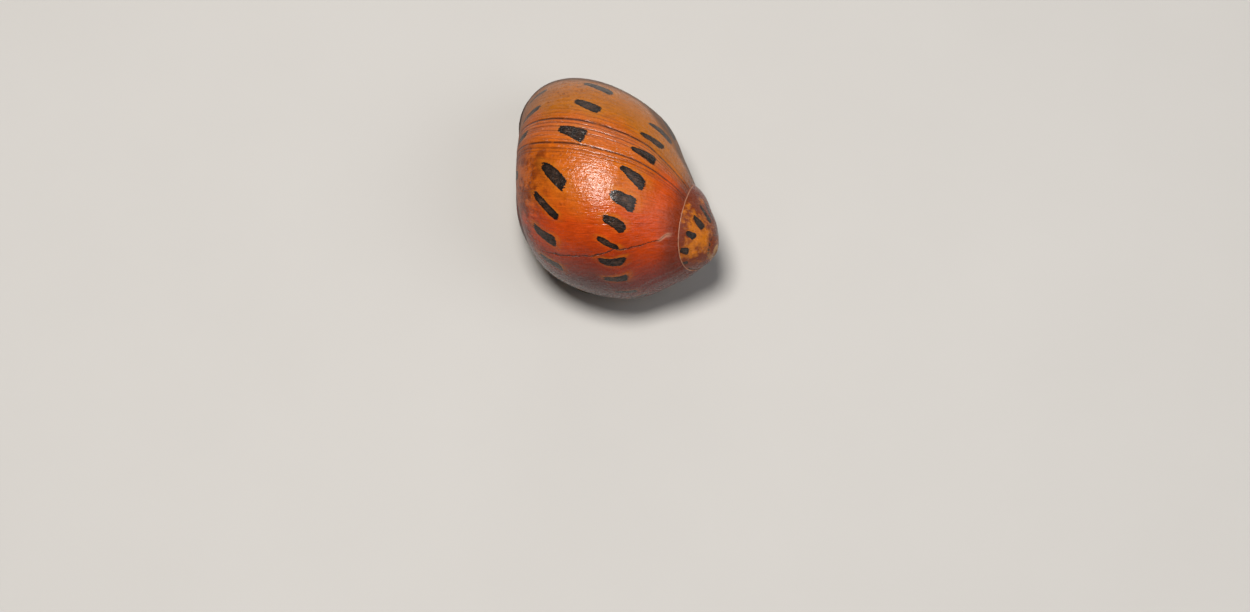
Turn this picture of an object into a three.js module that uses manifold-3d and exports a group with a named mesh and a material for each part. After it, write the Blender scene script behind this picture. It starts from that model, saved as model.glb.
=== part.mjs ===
import * as THREE from 'three';
import { mergeVertices } from 'three/addons/utils/BufferGeometryUtils.js';
import Module from 'manifold-3d';

// A life-size nerite snail, crawling on the floor. Millimetres, +Z up, +Y towards the head,
// +X to the animal's right. The shell coils to the right: its apex points back and to the right.

const gap = 0.3; // between parts that touch

// The shell is a tube that widens as it coils. psi runs along the tube towards the lip, and t runs
// round the tube's section, from the shoulder by the suture (above 0) to the base (below 0).
const coil = {
  offset: 4.43, // middle of the section from the coiling axis, at psi = 0
  below: 13.5, // middle of the section below the apex, at psi = 0
  halfWidth: 7.11,
  halfLength: 11.8,
  tilt: 0.286, // of the section against the axis
  roundness: 2.12, // exponent of the section's oval
  shoulderDip: 0.155, // share of the radius lost at the shoulder
  shoulderAt: 0.93,
  shoulderWidth: 0.524,
  growth: 0.1376, // widening for each radian on the early whorls
  slowing: -0.0568, // change of that on the last whorl
  slowingFrom: -2.2,
  slowingOver: 1.6,
  drop: 0.712, // how far the last whorl sinks along the axis, for each radian
  dropFrom: -1.5,
  dropOver: 1.2,
};

// How the shell is carried
const axisAzimuth = THREE.MathUtils.degToRad(-27.15); // of the axis, from +X towards +Y
const axisRise = THREE.MathUtils.degToRad(12.2);
const coilPhase = THREE.MathUtils.degToRad(-64.4); // where psi = 0 lies round the axis
const apexAt = new THREE.Vector3(10.4, -7.7, 8.7);
const basePitch = THREE.MathUtils.degToRad(5); // the shell's underside rises towards the head
const baseFront = 10.7; // y of the lip's front edge
const baseHeight = 3.7; // of the underside above the floor, at the lip's front edge

// The lip is a growth line: it leans back from the suture, and then comes forward at the base
const lip = {
  angle: 0.973, // psi at the suture
  lean: [-0.3826, 0.1731, -0.0447], // with t, as powers of 1 - t
  sutureEnd: 1.2,
  baseEnd: -2,
  overrun: 0.3, // of the tube past the lip, before the underside is cut, at the base
  sutureOverrun: 1, // and by the suture
  overrunFrom: -0.5, // t from which it grows
  wall: 0.9,
};
const whorlTurn = 2 * Math.PI;
const bodyStart = lip.angle - whorlTurn;
const spireStart = bodyStart - whorlTurn;
const apexWear = 0.75; // worn off the tip, down from where the coil begins
const apexDepth = 1.8; // of the worn cap

// A swelling fills the umbilicus and runs softly into the flank
const umbilicus = {
  middle: new THREE.Vector3(-2.7, -0.8, 5.1),
  radii: new THREE.Vector3(5.6, 7.4, 4.8),
  fillet: 1.2,
};
// At the base, for t below these, the tube thins out round psi = lip.angle + its run past the lip
const lipFade = { from: 0.9, to: 1.7, start: -0.5, end: 0.3, slope: 2 };

// The last whorl is measured on rays from one point of the underside
const rays = { x: -0.6, y: -0.7, around: 88, down: 34, reach: 21, step: 0.4, halvings: 14 };

// The mouth of the shell is a D: the curved lip in front and the deck's straight edge behind
const mouthDepth = 4;
const mantleRecess = 0.25;
const deck = {
  middleX: -0.6,
  edgeY: 1.9,
  turn: THREE.MathUtils.degToRad(-19),
  depth: 8.4,
  halfLength: 7.6,
  thickness: 1.1,
  proud: 0.2,
  border: 0.2, // of shell between its pocket and the mouth
};
const teeth = { count: 7, spread: 0.55, size: 0.32, taper: 0.3, back: 0.35, up: 0.1, flatness: 0.8 };

// The foot and the body above it
const foot = {
  back: -8.2,
  front: 9,
  middleX: -0.9,
  halfWidth: 5.3,
  bluntness: 0.8, // exponent of the outline
  narrowing: 0.1, // share of the width lost towards the tail
  thickness: 1.2,
  rim: 0.55,
  split: [3.9, -2.2],
};
const footTop = 1.2;
const column = {
  bottom: new THREE.Vector3(-0.9, 3.6, 0.7),
  bottomRadii: [4.4, 3.7],
  top: new THREE.Vector3(-1, 5.1, 4.2),
  topRadii: [4.9, 3.4],
};
const headFrom = 7;
const snoutFrom = 9.15;
const head = { middle: new THREE.Vector3(-1.2, 8.2, 1.95), radii: new THREE.Vector3(2.5, 2.3, 1.15) };
const snout = { middle: new THREE.Vector3(-1.2, 10.1, 1.3), radii: new THREE.Vector3(1.75, 1.75, 0.95) };
const mouth = { tilt: 0.5, slitWidth: 0.26, slitHeight: 0.8, slitDepth: 0.45, lipRadius: 0.5, lipSize: 0.17 };
// Places on the limbs are counted outwards from the head's middle, then along Y and up
const tentacle = {
  rootRadius: 0.48,
  tipRadius: 0.22,
  root: [1.5, 8.5, 2.1],
  bow: { left: [4.2, 11, 2.2], right: [3.9, 10.7, 2.2] },
  tip: { left: [6.6, 9.4, 1.3], right: [6.2, 8.3, 1.3] },
  split: 3.9,
};
const eyeStalk = { rootRadius: 0.6, tipRadius: 0.46, root: [1.6, 7.9, 2.2], tip: [2.95, 8, 2.45], socket: 0.2 };
const eyeRadius = 0.23;
const roundTip = 0.1; // share of a limb's length that rounds off
const operculum = { y: -0.7, halfWidth: 4.4, length: 5, thickness: 0.6, below: 0.35, fullness: 0.9, tipWidth: 0.5 };
const far = 40; // beyond every part
// Facets of each form, along it and round it
const facets = { last: [60, 30], spire: [40, 24], first: [22, 14], rod: 24, foot: [20, 32], column: [6, 30] };

const wasm = await Module();
wasm.setup();
const v3 = (x, y, z) => new THREE.Vector3(x, y, z);

// Solids

function solidOf(geometry) {
  const weld = 1e-4;
  geometry.deleteAttribute('normal');
  geometry.deleteAttribute('uv');
  const merged = mergeVertices(geometry, weld);
  const corners = merged.attributes.position.array;
  const faces = new Uint32Array(merged.index.array);
  const make = (triVerts) => new wasm.Manifold(new wasm.Mesh({ numProp: 3, vertProperties: corners, triVerts }));
  const solid = make(faces);
  return solid.volume() > 0 ? solid : make(faces.reverse());
}

// A closed cylinder whose every point is moved to at(along, angle, share): along is 0 to 1 from end to
// end, angle runs round it and share is 0 in the middle and 1 on the surface.
function shaped(around, steps, at) {
  const geometry = new THREE.CylinderGeometry(1, 1, 1, around, steps);
  const place = geometry.attributes.position;
  for (let i = 0; i < place.count; i += 1) {
    const [x, y, z] = [place.getX(i), place.getY(i), place.getZ(i)];
    const p = at(y + 0.5, Math.atan2(x, z), Math.min(Math.hypot(x, z), 1));
    place.setXYZ(i, p.x, p.y, p.z);
  }
  return solidOf(geometry);
}

function ball(middle, radii, across = 20, down = 14) {
  const geometry = new THREE.SphereGeometry(1, across, down);
  geometry.scale(radii.x, radii.y, radii.z);
  geometry.translate(middle.x, middle.y, middle.z);
  return solidOf(geometry);
}

// A box between two corners, turned about X at a point
function box(low, high, turn = 0, about = v3(0, 0, 0)) {
  const size = high.clone().sub(low);
  const middle = low.clone().add(high).multiplyScalar(0.5);
  const geometry = new THREE.BoxGeometry(size.x, size.y, size.z);
  geometry.translate(middle.x, middle.y, middle.z);
  geometry.applyMatrix4(new THREE.Matrix4().makeRotationX(turn));
  geometry.translate(about.x, about.y, about.z);
  return solidOf(geometry);
}

// The coiled tube

const expansion = (psi) =>
  Math.exp(coil.growth * psi
    + coil.slowing * coil.slowingOver * Math.log1p(Math.exp((psi - coil.slowingFrom) / coil.slowingOver)));
const sinking = (psi) => coil.drop * coil.dropOver * Math.log1p(Math.exp((psi - coil.dropFrom) / coil.dropOver));

function sectionRadius(t) {
  const oval = (Math.abs(Math.cos(t) / coil.halfWidth) ** coil.roundness
    + Math.abs(Math.sin(t) / coil.halfLength) ** coil.roundness) ** (-1 / coil.roundness);
  return oval * (1 - coil.shoulderDip * Math.exp(-(((t - coil.shoulderAt) / coil.shoulderWidth) ** 2)));
}

const axis = v3(
  Math.cos(axisRise) * Math.cos(axisAzimuth), Math.cos(axisRise) * Math.sin(axisAzimuth), Math.sin(axisRise));
const upOfAxis = v3(
  -Math.sin(axisRise) * Math.cos(axisAzimuth), -Math.sin(axisRise) * Math.sin(axisAzimuth), Math.cos(axisRise));
const sideOfAxis = v3(0, 0, 0).crossVectors(axis, upOfAxis);
const shellX = upOfAxis.clone().multiplyScalar(Math.cos(coilPhase))
  .addScaledVector(sideOfAxis, Math.sin(coilPhase));
const shellY = v3(0, 0, 0).crossVectors(axis, shellX);

// A point of the tube: share 1 is on its surface and 0 in its middle, grow moves the surface out.
function shellPoint(psi, t, share = 1, grow = 0) {
  const size = expansion(psi);
  const reach = share * (sectionRadius(t) * size + grow);
  const across = reach * (Math.cos(t) * Math.cos(coil.tilt) - Math.sin(t) * Math.sin(coil.tilt));
  const along = reach * (Math.cos(t) * Math.sin(coil.tilt) + Math.sin(t) * Math.cos(coil.tilt));
  const r = Math.max(coil.offset * size + across, 0.02);
  const z = -coil.below * size + along - sinking(psi);
  return apexAt.clone().addScaledVector(shellX, r * Math.cos(psi))
    .addScaledVector(shellY, -r * Math.sin(psi)).addScaledVector(axis, z);
}

// The tube's solid between two places along it, in two lengths, because a whole turn meets itself.
// lead(t) moves its front end along the tube.
function tube(from, to, steps, around, grow = 0, lead = () => 0) {
  const middle = (from + to) / 2;
  const length = (start, end, ahead) => shaped(around, Math.ceil(steps / 2), (along, t, share) =>
    shellPoint(start + (end + ahead(t) - start) * along, t, share, grow));
  return length(from, middle, () => 0).add(length(middle, to, lead));
}

// How far the tube runs past psi = lip.angle at t: to the lip and a little over, and evenly across the inside
function lipAhead(t) {
  const lean = lip.lean.reduce((sum, c, i) => sum + c * (1 - t) ** (i + 1), 0);
  const share = THREE.MathUtils.smoothstep(t, lip.overrunFrom, lip.sutureEnd);
  return lean + THREE.MathUtils.lerp(lip.overrun, lip.sutureOverrun, share);
}
function pastLip(t) {
  if (t > lip.baseEnd && t < lip.sutureEnd) return lipAhead(t);
  const inner = (t < 0 ? t + whorlTurn : t) - lip.sutureEnd;
  const part = inner / (lip.baseEnd + whorlTurn - lip.sutureEnd);
  return THREE.MathUtils.lerp(lipAhead(lip.sutureEnd), lipAhead(lip.baseEnd), part);
}

// The underside

const basePoint = v3(0, baseFront, baseHeight);
const baseNormal = v3(0, -Math.sin(basePitch), Math.cos(basePitch));
const overBase = (p) => p.clone().sub(basePoint).dot(baseNormal);
const baseLevel = (y) => baseHeight - (baseFront - y) * Math.tan(basePitch);
// A slab of space between two levels, measured square to the underside
const baseSlab = (low, high) => box(v3(-far, -far, low), v3(far, far, high), basePitch, basePoint);
// An outline in the underside's plane, made a solid between two levels
function onBase(shape, low, high) {
  const geometry = new THREE.ExtrudeGeometry(shape, { depth: high - low, bevelEnabled: false, curveSegments: 20 });
  geometry.translate(0, 0, low);
  geometry.applyMatrix4(new THREE.Matrix4().makeRotationX(basePitch));
  geometry.translate(basePoint.x, basePoint.y, basePoint.z);
  return solidOf(geometry);
}

// Where the lip crosses the underside, as points of that plane, moved in from the shell's surface
function lipOutline(inset) {
  const steps = 36;
  const beyond = 0.1; // t, so that the outline's ends lie inside the older whorl
  const points = [];
  for (let i = 0; i <= steps; i += 1) {
    const t = THREE.MathUtils.lerp(lip.sutureEnd - beyond, lip.baseEnd, i / steps);
    let [above, under] = [lip.angle - Math.PI / 2, lip.angle + pastLip(t)];
    for (let k = 0; k < rays.halvings * 2; k += 1) {
      const middle = (above + under) / 2;
      if (overBase(shellPoint(middle, t)) > 0) above = middle; else under = middle;
    }
    const p = shellPoint(above, t).sub(basePoint);
    points.push(new THREE.Vector2(p.x, p.y / Math.cos(basePitch)));
  }
  return points.map((p, i) => {
    const along = points[Math.min(i + 1, steps)].clone().sub(points[Math.max(i - 1, 0)]).normalize();
    return p.clone().add(new THREE.Vector2(-along.y, along.x).multiplyScalar(inset));
  });
}
// A point of the underside's plane, s along the deck's straight edge and n in front of it
const byDeck = (s, n) => new THREE.Vector2(s, n).rotateAround(new THREE.Vector2(), deck.turn)
  .add(new THREE.Vector2(deck.middleX, deck.edgeY - baseFront));
function mouthHole(inset, low, high) {
  const back = inset + deck.border;
  const beforeDeck = new THREE.Shape([byDeck(-far, back), byDeck(far, back), byDeck(far, far), byDeck(-far, far)]);
  return onBase(new THREE.Shape(lipOutline(lip.wall + inset)), low, high)
    .intersect(onBase(beforeDeck, low - 1, high + 1));
}

// The last whorl

// How deep a point lies in the whorl that many turns back from the last, and where along and round it
function placeIn(p, turns) {
  const away = p.clone().sub(apexAt);
  const angle = Math.atan2(-away.dot(shellY), away.dot(shellX));
  const psi = lip.angle - THREE.MathUtils.euclideanModulo(lip.angle - angle, whorlTurn) - whorlTurn * turns;
  const size = expansion(psi);
  const across = Math.hypot(away.dot(shellX), away.dot(shellY)) - coil.offset * size;
  const along = away.dot(axis) + coil.below * size + sinking(psi);
  const u = across * Math.cos(coil.tilt) + along * Math.sin(coil.tilt);
  const v = along * Math.cos(coil.tilt) - across * Math.sin(coil.tilt);
  const t = Math.atan2(v, u);
  return { depth: sectionRadius(t) * size - Math.hypot(u, v), psi, t };
}

// The larger of two, with a fillet where they are close
function softMax(a, b, fillet) {
  const near = Math.max(fillet - Math.abs(a - b), 0) / fillet;
  return Math.max(a, b) + (near * near * fillet) / 4;
}

// How deep it lies in the tube as far as the lip, where the tube fades out at the base
function depthInTube(p, turns) {
  const { depth, psi, t } = placeIn(p, turns);
  const past = psi - lip.angle - lipAhead(THREE.MathUtils.clamp(t, lip.baseEnd, lip.sutureEnd));
  const fading = THREE.MathUtils.smoothstep(-t, lipFade.from, lipFade.to);
  if (past > lipFade.end * fading) return -far;
  return depth - lipFade.slope * fading * Math.max(past - lipFade.start, 0) ** 1.5;
}

function depthInShell(p) {
  const early = Math.max(placeIn(p, 1).depth, placeIn(p, 2).depth);
  const radii = umbilicus.radii;
  const pad = (1 - p.clone().sub(umbilicus.middle).divide(radii).length()) * ((radii.x + radii.y + radii.z) / 3);
  return softMax(Math.max(depthInTube(p, 0), depthInTube(p, -1), early), pad, umbilicus.fillet);
}

// The outermost place on a ray where the shell begins
function onRay(start, direction) {
  const at = (distance) => start.clone().addScaledVector(direction, distance);
  let outside = rays.reach;
  while (outside > rays.step && depthInShell(at(outside - rays.step)) < 0) outside -= rays.step;
  let inside = outside - rays.step;
  for (let k = 0; k < rays.halvings; k += 1) {
    const middle = (inside + outside) / 2;
    if (depthInShell(at(middle)) > 0) inside = middle; else outside = middle;
  }
  return at(inside);
}

const rayStart = v3(rays.x, rays.y, baseLevel(rays.y));
const rayTop = 0.02; // of the turn up, left for the top's middle
const domeSolid = shaped(rays.around, rays.down, (along, angle, share) => {
  const onSide = share > 0.5;
  if (along < 0.5 && !onSide) return rayStart.clone();
  const rise = (Math.PI / 2) * along * (onSide ? 1 - rayTop : 1);
  const direction = v3(Math.cos(rise) * Math.cos(angle), Math.cos(rise) * Math.sin(angle), Math.sin(rise));
  return onRay(rayStart, direction.applyAxisAngle(v3(1, 0, 0), basePitch));
});

// The shell's parts

// A round rod or disc on the coiling axis, between two distances down from the apex
function onAxis(radius, top, bottom) {
  const geometry = new THREE.CylinderGeometry(radius, radius, bottom - top, facets.rod);
  geometry.translate(0, -(top + bottom) / 2, 0);
  geometry.applyQuaternion(new THREE.Quaternion().setFromUnitVectors(v3(0, 1, 0), axis));
  geometry.translate(apexAt.x, apexAt.y, apexAt.z);
  return solidOf(geometry);
}
const discRadius = 9; // wider than the spire
// A rod fills the pinhole which the last whorl leaves on the axis
const coreTop = 4.2;
const coreEnd = 16;
const core = (radius) => onAxis(radius, coreTop, coreEnd);

const clear = 0.08; // of the tubes' faces over the dome's
const lastTube = (from, grow) => tube(from, lip.angle, ...facets.last, grow, pastLip).add(core(grow));
const spireTubes = (grow) => tube(spireStart, bodyStart, ...facets.spire, grow)
  .add(tube(spireStart - whorlTurn, spireStart, ...facets.first, grow)).add(onAxis(gap, apexWear, coreTop + 2 * gap));
const spireWhole = spireTubes(0).subtract(lastTube(bodyStart - gap / 5, gap + clear))
  .subtract(baseSlab(-far, 0)).subtract(onAxis(discRadius, -2, apexWear));
const spireRoom = spireTubes(gap).subtract(lastTube(bodyStart, clear));
const bodyWhole = domeSolid.subtract(spireRoom).subtract(mouthHole(0, -1, mouthDepth));

// The deck: a half-moon plate behind the mouth, with small teeth along its straight edge
function halfMoon(inset) {
  const steps = 28;
  const points = [];
  for (let i = 0; i <= steps; i += 1) {
    const a = Math.PI * (1 - i / steps);
    points.push(byDeck((deck.halfLength - inset) * Math.cos(a), -inset - (deck.depth - 2 * inset) * Math.sin(a)));
  }
  return new THREE.Shape(points);
}
let deckPlate = onBase(halfMoon(gap), -deck.proud, deck.thickness);
for (let i = 0; i < teeth.count; i += 1) {
  const share = teeth.spread * ((2 * i) / (teeth.count - 1) - 1);
  const p = byDeck(deck.halfLength * share, -teeth.back);
  const size = teeth.size * (1 - teeth.taper * Math.abs(share));
  const middle = v3(p.x, p.y * Math.cos(basePitch), p.y * Math.sin(basePitch) + teeth.up).add(basePoint);
  deckPlate = deckPlate.add(ball(middle, v3(size, size, size * teeth.flatness), 8, 6));
}
const deckPocket = onBase(halfMoon(0), -1, deck.thickness + gap);

// Flesh, made whole and then parted with thin cuts

function footPoint(along, angle, share) {
  const y = THREE.MathUtils.lerp(foot.back, foot.front, (1 - Math.cos(Math.PI * along)) / 2);
  const middle = Math.max(Math.sin(Math.PI * along), 0);
  const bluntEnd = 0.06;
  const width = foot.halfWidth * Math.max(middle, bluntEnd) ** foot.bluntness
    * (1 - foot.narrowing * Math.cos(Math.PI * along));
  const x = foot.middleX + share * width * Math.sign(Math.cos(angle)) * Math.abs(Math.cos(angle)) ** foot.bluntness;
  const crown = THREE.MathUtils.lerp(foot.rim, foot.thickness, middle ** 0.6 * Math.max(Math.sin(angle), 0) ** 0.7);
  return v3(x, y, Math.sin(angle) > -0.01 || share < 0.5 ? share * crown : 0);
}
const footSolid = shaped(facets.foot[1], facets.foot[0], footPoint);

const columnSolid = shaped(facets.column[1], facets.column[0], (along, angle, share) => {
  const radii = [0, 1].map((i) => share * THREE.MathUtils.lerp(column.bottomRadii[i], column.topRadii[i], along));
  return column.bottom.clone().lerp(column.top, along)
    .add(v3(radii[0] * Math.cos(angle), radii[1] * Math.sin(angle), 0));
});

function turned(geometry, direction, at) {
  geometry.applyQuaternion(new THREE.Quaternion().setFromUnitVectors(v3(0, 0, 1), direction));
  geometry.translate(at.x, at.y, at.z);
  return solidOf(geometry);
}
// The mouth faces forward and down: a ring of lips round an upright slit
const mouthTurn = v3(0, Math.cos(mouth.tilt), -Math.sin(mouth.tilt));
const mouthAt = snout.middle.clone().add(v3(0, snout.radii.y * mouthTurn.y, snout.radii.z * mouthTurn.z));
const lips = turned(new THREE.TorusGeometry(mouth.lipRadius, mouth.lipSize, 8, 20), mouthTurn, mouthAt);
const slit = turned(new THREE.BoxGeometry(mouth.slitWidth, mouth.slitHeight, 2 * mouth.slitDepth), mouthTurn, mouthAt);

const headSolid = ball(head.middle, head.radii, 26, 16);
const snoutSolid = ball(snout.middle, snout.radii, 24, 16).add(lips).subtract(slit);
const body = footSolid.add(columnSolid).add(headSolid).add(snoutSolid)
  .subtract(baseSlab(mantleRecess - gap, far)).subtract(onBase(halfMoon(-gap), -deck.proud - gap, 9))
  .subtract(box(v3(-far, -far, -far), v3(far, far, 0)));
const region = (low, high) => body.intersect(box(v3(-far, low[0], low[1]), v3(far, high[0], high[1])));

// A tapered limb from one point to another, bowed by a third, with a round tip
function limb(from, to, bow, rootRadius, tipRadius, steps = 12, around = 10) {
  const path = new THREE.QuadraticBezierCurve3(from, bow, to);
  return shaped(around, steps, (along, angle, share) => {
    const past = Math.max(0, (along - 1) / roundTip + 1);
    const radius = THREE.MathUtils.lerp(rootRadius, tipRadius, along) * Math.sqrt(Math.max(1 - past * past, 0.02));
    const forward = path.getTangent(along);
    const side = v3(0, 0, 1).cross(forward).normalize();
    const up = forward.clone().cross(side);
    return path.getPoint(along).addScaledVector(side, share * radius * Math.cos(angle))
      .addScaledVector(up, share * radius * Math.sin(angle));
  });
}

const group = new THREE.Group();
function keep(name, solid, material) {
  const largest = solid.decompose().reduce((a, b) => (a.volume() > b.volume() ? a : b));
  const mesh = largest.getMesh();
  const geometry = new THREE.BufferGeometry();
  geometry.setAttribute('position', new THREE.BufferAttribute(mesh.vertProperties, 3));
  geometry.setIndex(new THREE.BufferAttribute(mesh.triVerts, 1));
  const item = new THREE.Mesh(geometry, material);
  item.name = name;
  group.add(item);
}
const finish = (color, roughness) => new THREE.MeshStandardMaterial({ color, roughness, metalness: 0 });
const shellOrange = finish(0xb5520f, 0.3);
const shellYellow = finish(0xc47a1c, 0.35);
const wornWhite = finish(0xd9cfae, 0.6);
const callus = finish(0xe6c98a, 0.3);
const horn = finish(0x3a2a20, 0.4);
const flesh = finish(0x8a7430, 0.5);
const darkFlesh = finish(0x3d3524, 0.5);
const eyeBlack = finish(0x050505, 0.1);

keep('shell_body_whorl', bodyWhole.subtract(deckPocket), shellOrange);
keep('shell_spire', spireWhole.subtract(onAxis(discRadius, -2, apexDepth + gap)), shellYellow);
keep('shell_apex', spireWhole.intersect(onAxis(discRadius, -2, apexDepth)), wornWhite);
keep('shell_columellar_deck', deckPlate.subtract(mouthHole(-gap, -2, 2)), callus);

// The operculum lies on the back of the foot, under the deck
const plate = new THREE.Shape();
const [plateHalf, plateBack] = [operculum.halfWidth, -operculum.length];
plate.moveTo(-plateHalf, 0);
plate.lineTo(plateHalf, 0);
plate.bezierCurveTo(plateHalf, plateBack * operculum.fullness, plateHalf * operculum.tipWidth, plateBack, 0, plateBack);
plate.bezierCurveTo(-plateHalf * operculum.tipWidth, plateBack, -plateHalf, plateBack * operculum.fullness, -plateHalf, 0);
const plateSolid = new THREE.ExtrudeGeometry(plate, { depth: operculum.thickness, bevelEnabled: false, curveSegments: 12 });
plateSolid.applyMatrix4(new THREE.Matrix4().makeRotationX(basePitch));
plateSolid.translate(foot.middleX, operculum.y,
  baseLevel(operculum.y) - deck.proud - operculum.below - operculum.thickness);
keep('operculum', solidOf(plateSolid), horn);

keep('mantle', mouthHole(gap, mantleRecess, mouthDepth - gap), darkFlesh);
const half = gap / 2;
keep('foot_tail', region([-far, -far], [foot.split[1] - half, footTop - half]), flesh);
keep('foot_middle', region([foot.split[1] + half, -far], [foot.split[0] - half, footTop - half]), flesh);
keep('foot_front', region([foot.split[0] + half, -far], [snoutFrom - half, footTop - half]), flesh);
keep('body_column', region([-far, footTop + half], [headFrom - half, far]), flesh);
keep('head', region([headFrom + half, footTop + half], [snoutFrom - half, far]), flesh);
keep('snout', region([snoutFrom + half, -far], [far, far]), flesh);

const clearOfHead = ball(head.middle, head.radii.clone().addScalar(gap), 26, 16)
  .add(ball(snout.middle, snout.radii.clone().addScalar(gap), 24, 16));
for (const [side, name] of [[-1, 'left'], [1, 'right']]) {
  const at = (p) => v3(head.middle.x + side * p[0], p[1], p[2]);
  const feeler = (grow) => limb(at(tentacle.root), at(tentacle.tip[name]), at(tentacle.bow[name]),
    tentacle.rootRadius + grow, tentacle.tipRadius + grow);
  const free = feeler(0).subtract(clearOfHead);
  // Everything farther out than a distance from the head's middle, or nearer than it
  const beyond = (distance) => {
    const [a, b] = [head.middle.x + side * distance, side * far];
    return box(v3(Math.min(a, b), -far, -far), v3(Math.max(a, b), far, far));
  };
  keep('tentacle_' + name + '_base', free.subtract(beyond(tentacle.split - half)), darkFlesh);
  keep('tentacle_' + name + '_tip', free.intersect(beyond(tentacle.split + half)), darkFlesh);
  const [stalkRoot, eyeAt] = [at(eyeStalk.root), at(eyeStalk.tip)];
  const stalk = limb(stalkRoot, eyeAt, stalkRoot.clone().lerp(eyeAt, 0.5), eyeStalk.rootRadius, eyeStalk.tipRadius, 8, 12);
  const round = (radius, across, down) => ball(eyeAt, v3(radius, radius, radius), across, down);
  keep('eyestalk_' + name, stalk.subtract(clearOfHead).subtract(feeler(gap))
    .subtract(round(eyeRadius + eyeStalk.socket, 12, 8)), darkFlesh);
  keep('eye_' + name, round(eyeRadius, 14, 10), eyeBlack);
}

// The origin is on the floor, under the middle of the animal
const extent = new THREE.Box3().setFromObject(group);
const middle = extent.getCenter(v3(0, 0, 0));
group.position.set(-middle.x, -middle.y, -extent.min.z);

export default group;
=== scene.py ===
import math

import bpy
import numpy as np
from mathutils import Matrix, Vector


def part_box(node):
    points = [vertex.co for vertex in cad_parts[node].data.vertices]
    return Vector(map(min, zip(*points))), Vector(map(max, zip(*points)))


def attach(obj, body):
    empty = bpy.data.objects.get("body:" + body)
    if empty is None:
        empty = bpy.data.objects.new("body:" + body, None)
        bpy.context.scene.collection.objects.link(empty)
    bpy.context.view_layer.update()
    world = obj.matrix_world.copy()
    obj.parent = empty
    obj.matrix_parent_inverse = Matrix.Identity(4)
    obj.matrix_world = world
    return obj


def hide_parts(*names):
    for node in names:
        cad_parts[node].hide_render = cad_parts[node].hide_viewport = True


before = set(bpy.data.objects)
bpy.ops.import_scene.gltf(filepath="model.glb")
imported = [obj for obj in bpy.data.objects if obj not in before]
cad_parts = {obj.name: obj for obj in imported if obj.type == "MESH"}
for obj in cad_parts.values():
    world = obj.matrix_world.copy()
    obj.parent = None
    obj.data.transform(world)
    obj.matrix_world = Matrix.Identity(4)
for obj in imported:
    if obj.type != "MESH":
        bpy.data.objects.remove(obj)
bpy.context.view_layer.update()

# A nerite snail that crawls on a pale floor: a coiled shell, its deck and operculum,
# one skin of flesh and two eyes. Lengths are millimetres until a mesh is made.
mm = 0.001
fullTurn = 2 * math.pi


def smooth(low, high, x):
    # 0 below low, 1 above high, and an S between them
    share = np.clip((x - low) / (high - low), 0, 1)
    return share * share * (3 - 2 * share)


def unit(vectors):
    # the same directions with length 1
    return vectors / np.linalg.norm(vectors, axis=-1, keepdims=True)


def turns(count):
    # that many even angles round a full turn
    return np.linspace(0, fullTurn, count, endpoint=False)


def addObject(name, data):
    # a new object in the scene
    made = bpy.data.objects.new(name, data)
    bpy.context.scene.collection.objects.link(made)
    return made


def aim(thing, direction):
    # turns a lamp or a camera so that it looks that way
    thing.rotation_mode = "QUATERNION"
    thing.rotation_quaternion = direction.to_track_quat("-Z", "Y")


def nodeMiddle(name):
    # middle of a solid's box, in millimetres
    low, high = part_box(name)
    return (np.array(low) + np.array(high)) / 2 / mm


# Meshes from arrays

def fanFaces(pole, ring):
    # a triangle from the pole to each side of the ring
    return np.stack([np.full(len(ring), pole), ring, np.roll(ring, -1)], -1)


def closedFaces(rows, columns):
    # quads of a grid that closes on itself sideways, and a fan to each pole; the poles come last
    row = np.arange(rows - 1)[:, None] * columns
    column = np.arange(columns)
    here, beside = row + column, row + (column + 1) % columns
    quads = np.stack([here, beside, beside + columns, here + columns], -1).reshape(-1, 4)
    last = (rows - 1) * columns + column
    return [quads, fanFaces(rows * columns, column)[:, ::-1], fanFaces(rows * columns + 1, last)]


def facedOut(points, faceSets):
    # the same faces, turned over if the tetrahedra from the origin to them add up to less than nothing
    volume = 0.0
    for faces in faceSets:
        corners = points[faces]
        for k in range(1, faces.shape[1] - 1):
            volume += (corners[:, 0] * np.cross(corners[:, k], corners[:, k + 1])).sum() / 6
    return faceSets if volume >= 0 else [faces[:, ::-1] for faces in faceSets]


def makePiece(name, points, faceSets, values=None):
    # a mesh from points in millimetres, with its faces turned outwards and one attribute for each value
    faceSets = facedOut(points, faceSets)
    corners = np.concatenate([faces.ravel() for faces in faceSets])
    sizes = np.concatenate([np.full(len(faces), faces.shape[1]) for faces in faceSets])
    starts = np.concatenate([[0], np.cumsum(sizes)[:-1]])
    mesh = bpy.data.meshes.new(name)
    mesh.vertices.add(len(points))
    mesh.vertices.foreach_set("co", (points * mm).astype(np.float32).ravel())
    mesh.loops.add(len(corners))
    mesh.loops.foreach_set("vertex_index", corners.astype(np.int32))
    mesh.polygons.add(len(sizes))
    mesh.polygons.foreach_set("loop_start", starts.astype(np.int32))
    mesh.update(calc_edges=True)
    mesh.polygons.foreach_set("use_smooth", np.ones(len(sizes), bool))
    kinds = {1: ("FLOAT", "value"), 3: ("FLOAT_VECTOR", "vector"), 4: ("FLOAT_COLOR", "color")}
    for key, value in (values or {}).items():
        kind, field = kinds[1 if value.ndim == 1 else value.shape[1]]
        mesh.attributes.new(key, kind, "POINT").data.foreach_set(field, value.astype(np.float32).ravel())
    print("made", name, len(mesh.polygons), "faces")
    return addObject(name, mesh)


def withPoles(grid):
    # a grid's points in one list, and the middles of its first and last rows
    return np.concatenate([grid.reshape(-1, grid.shape[-1]), grid[0].mean(0)[None], grid[-1].mean(0)[None]])


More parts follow.
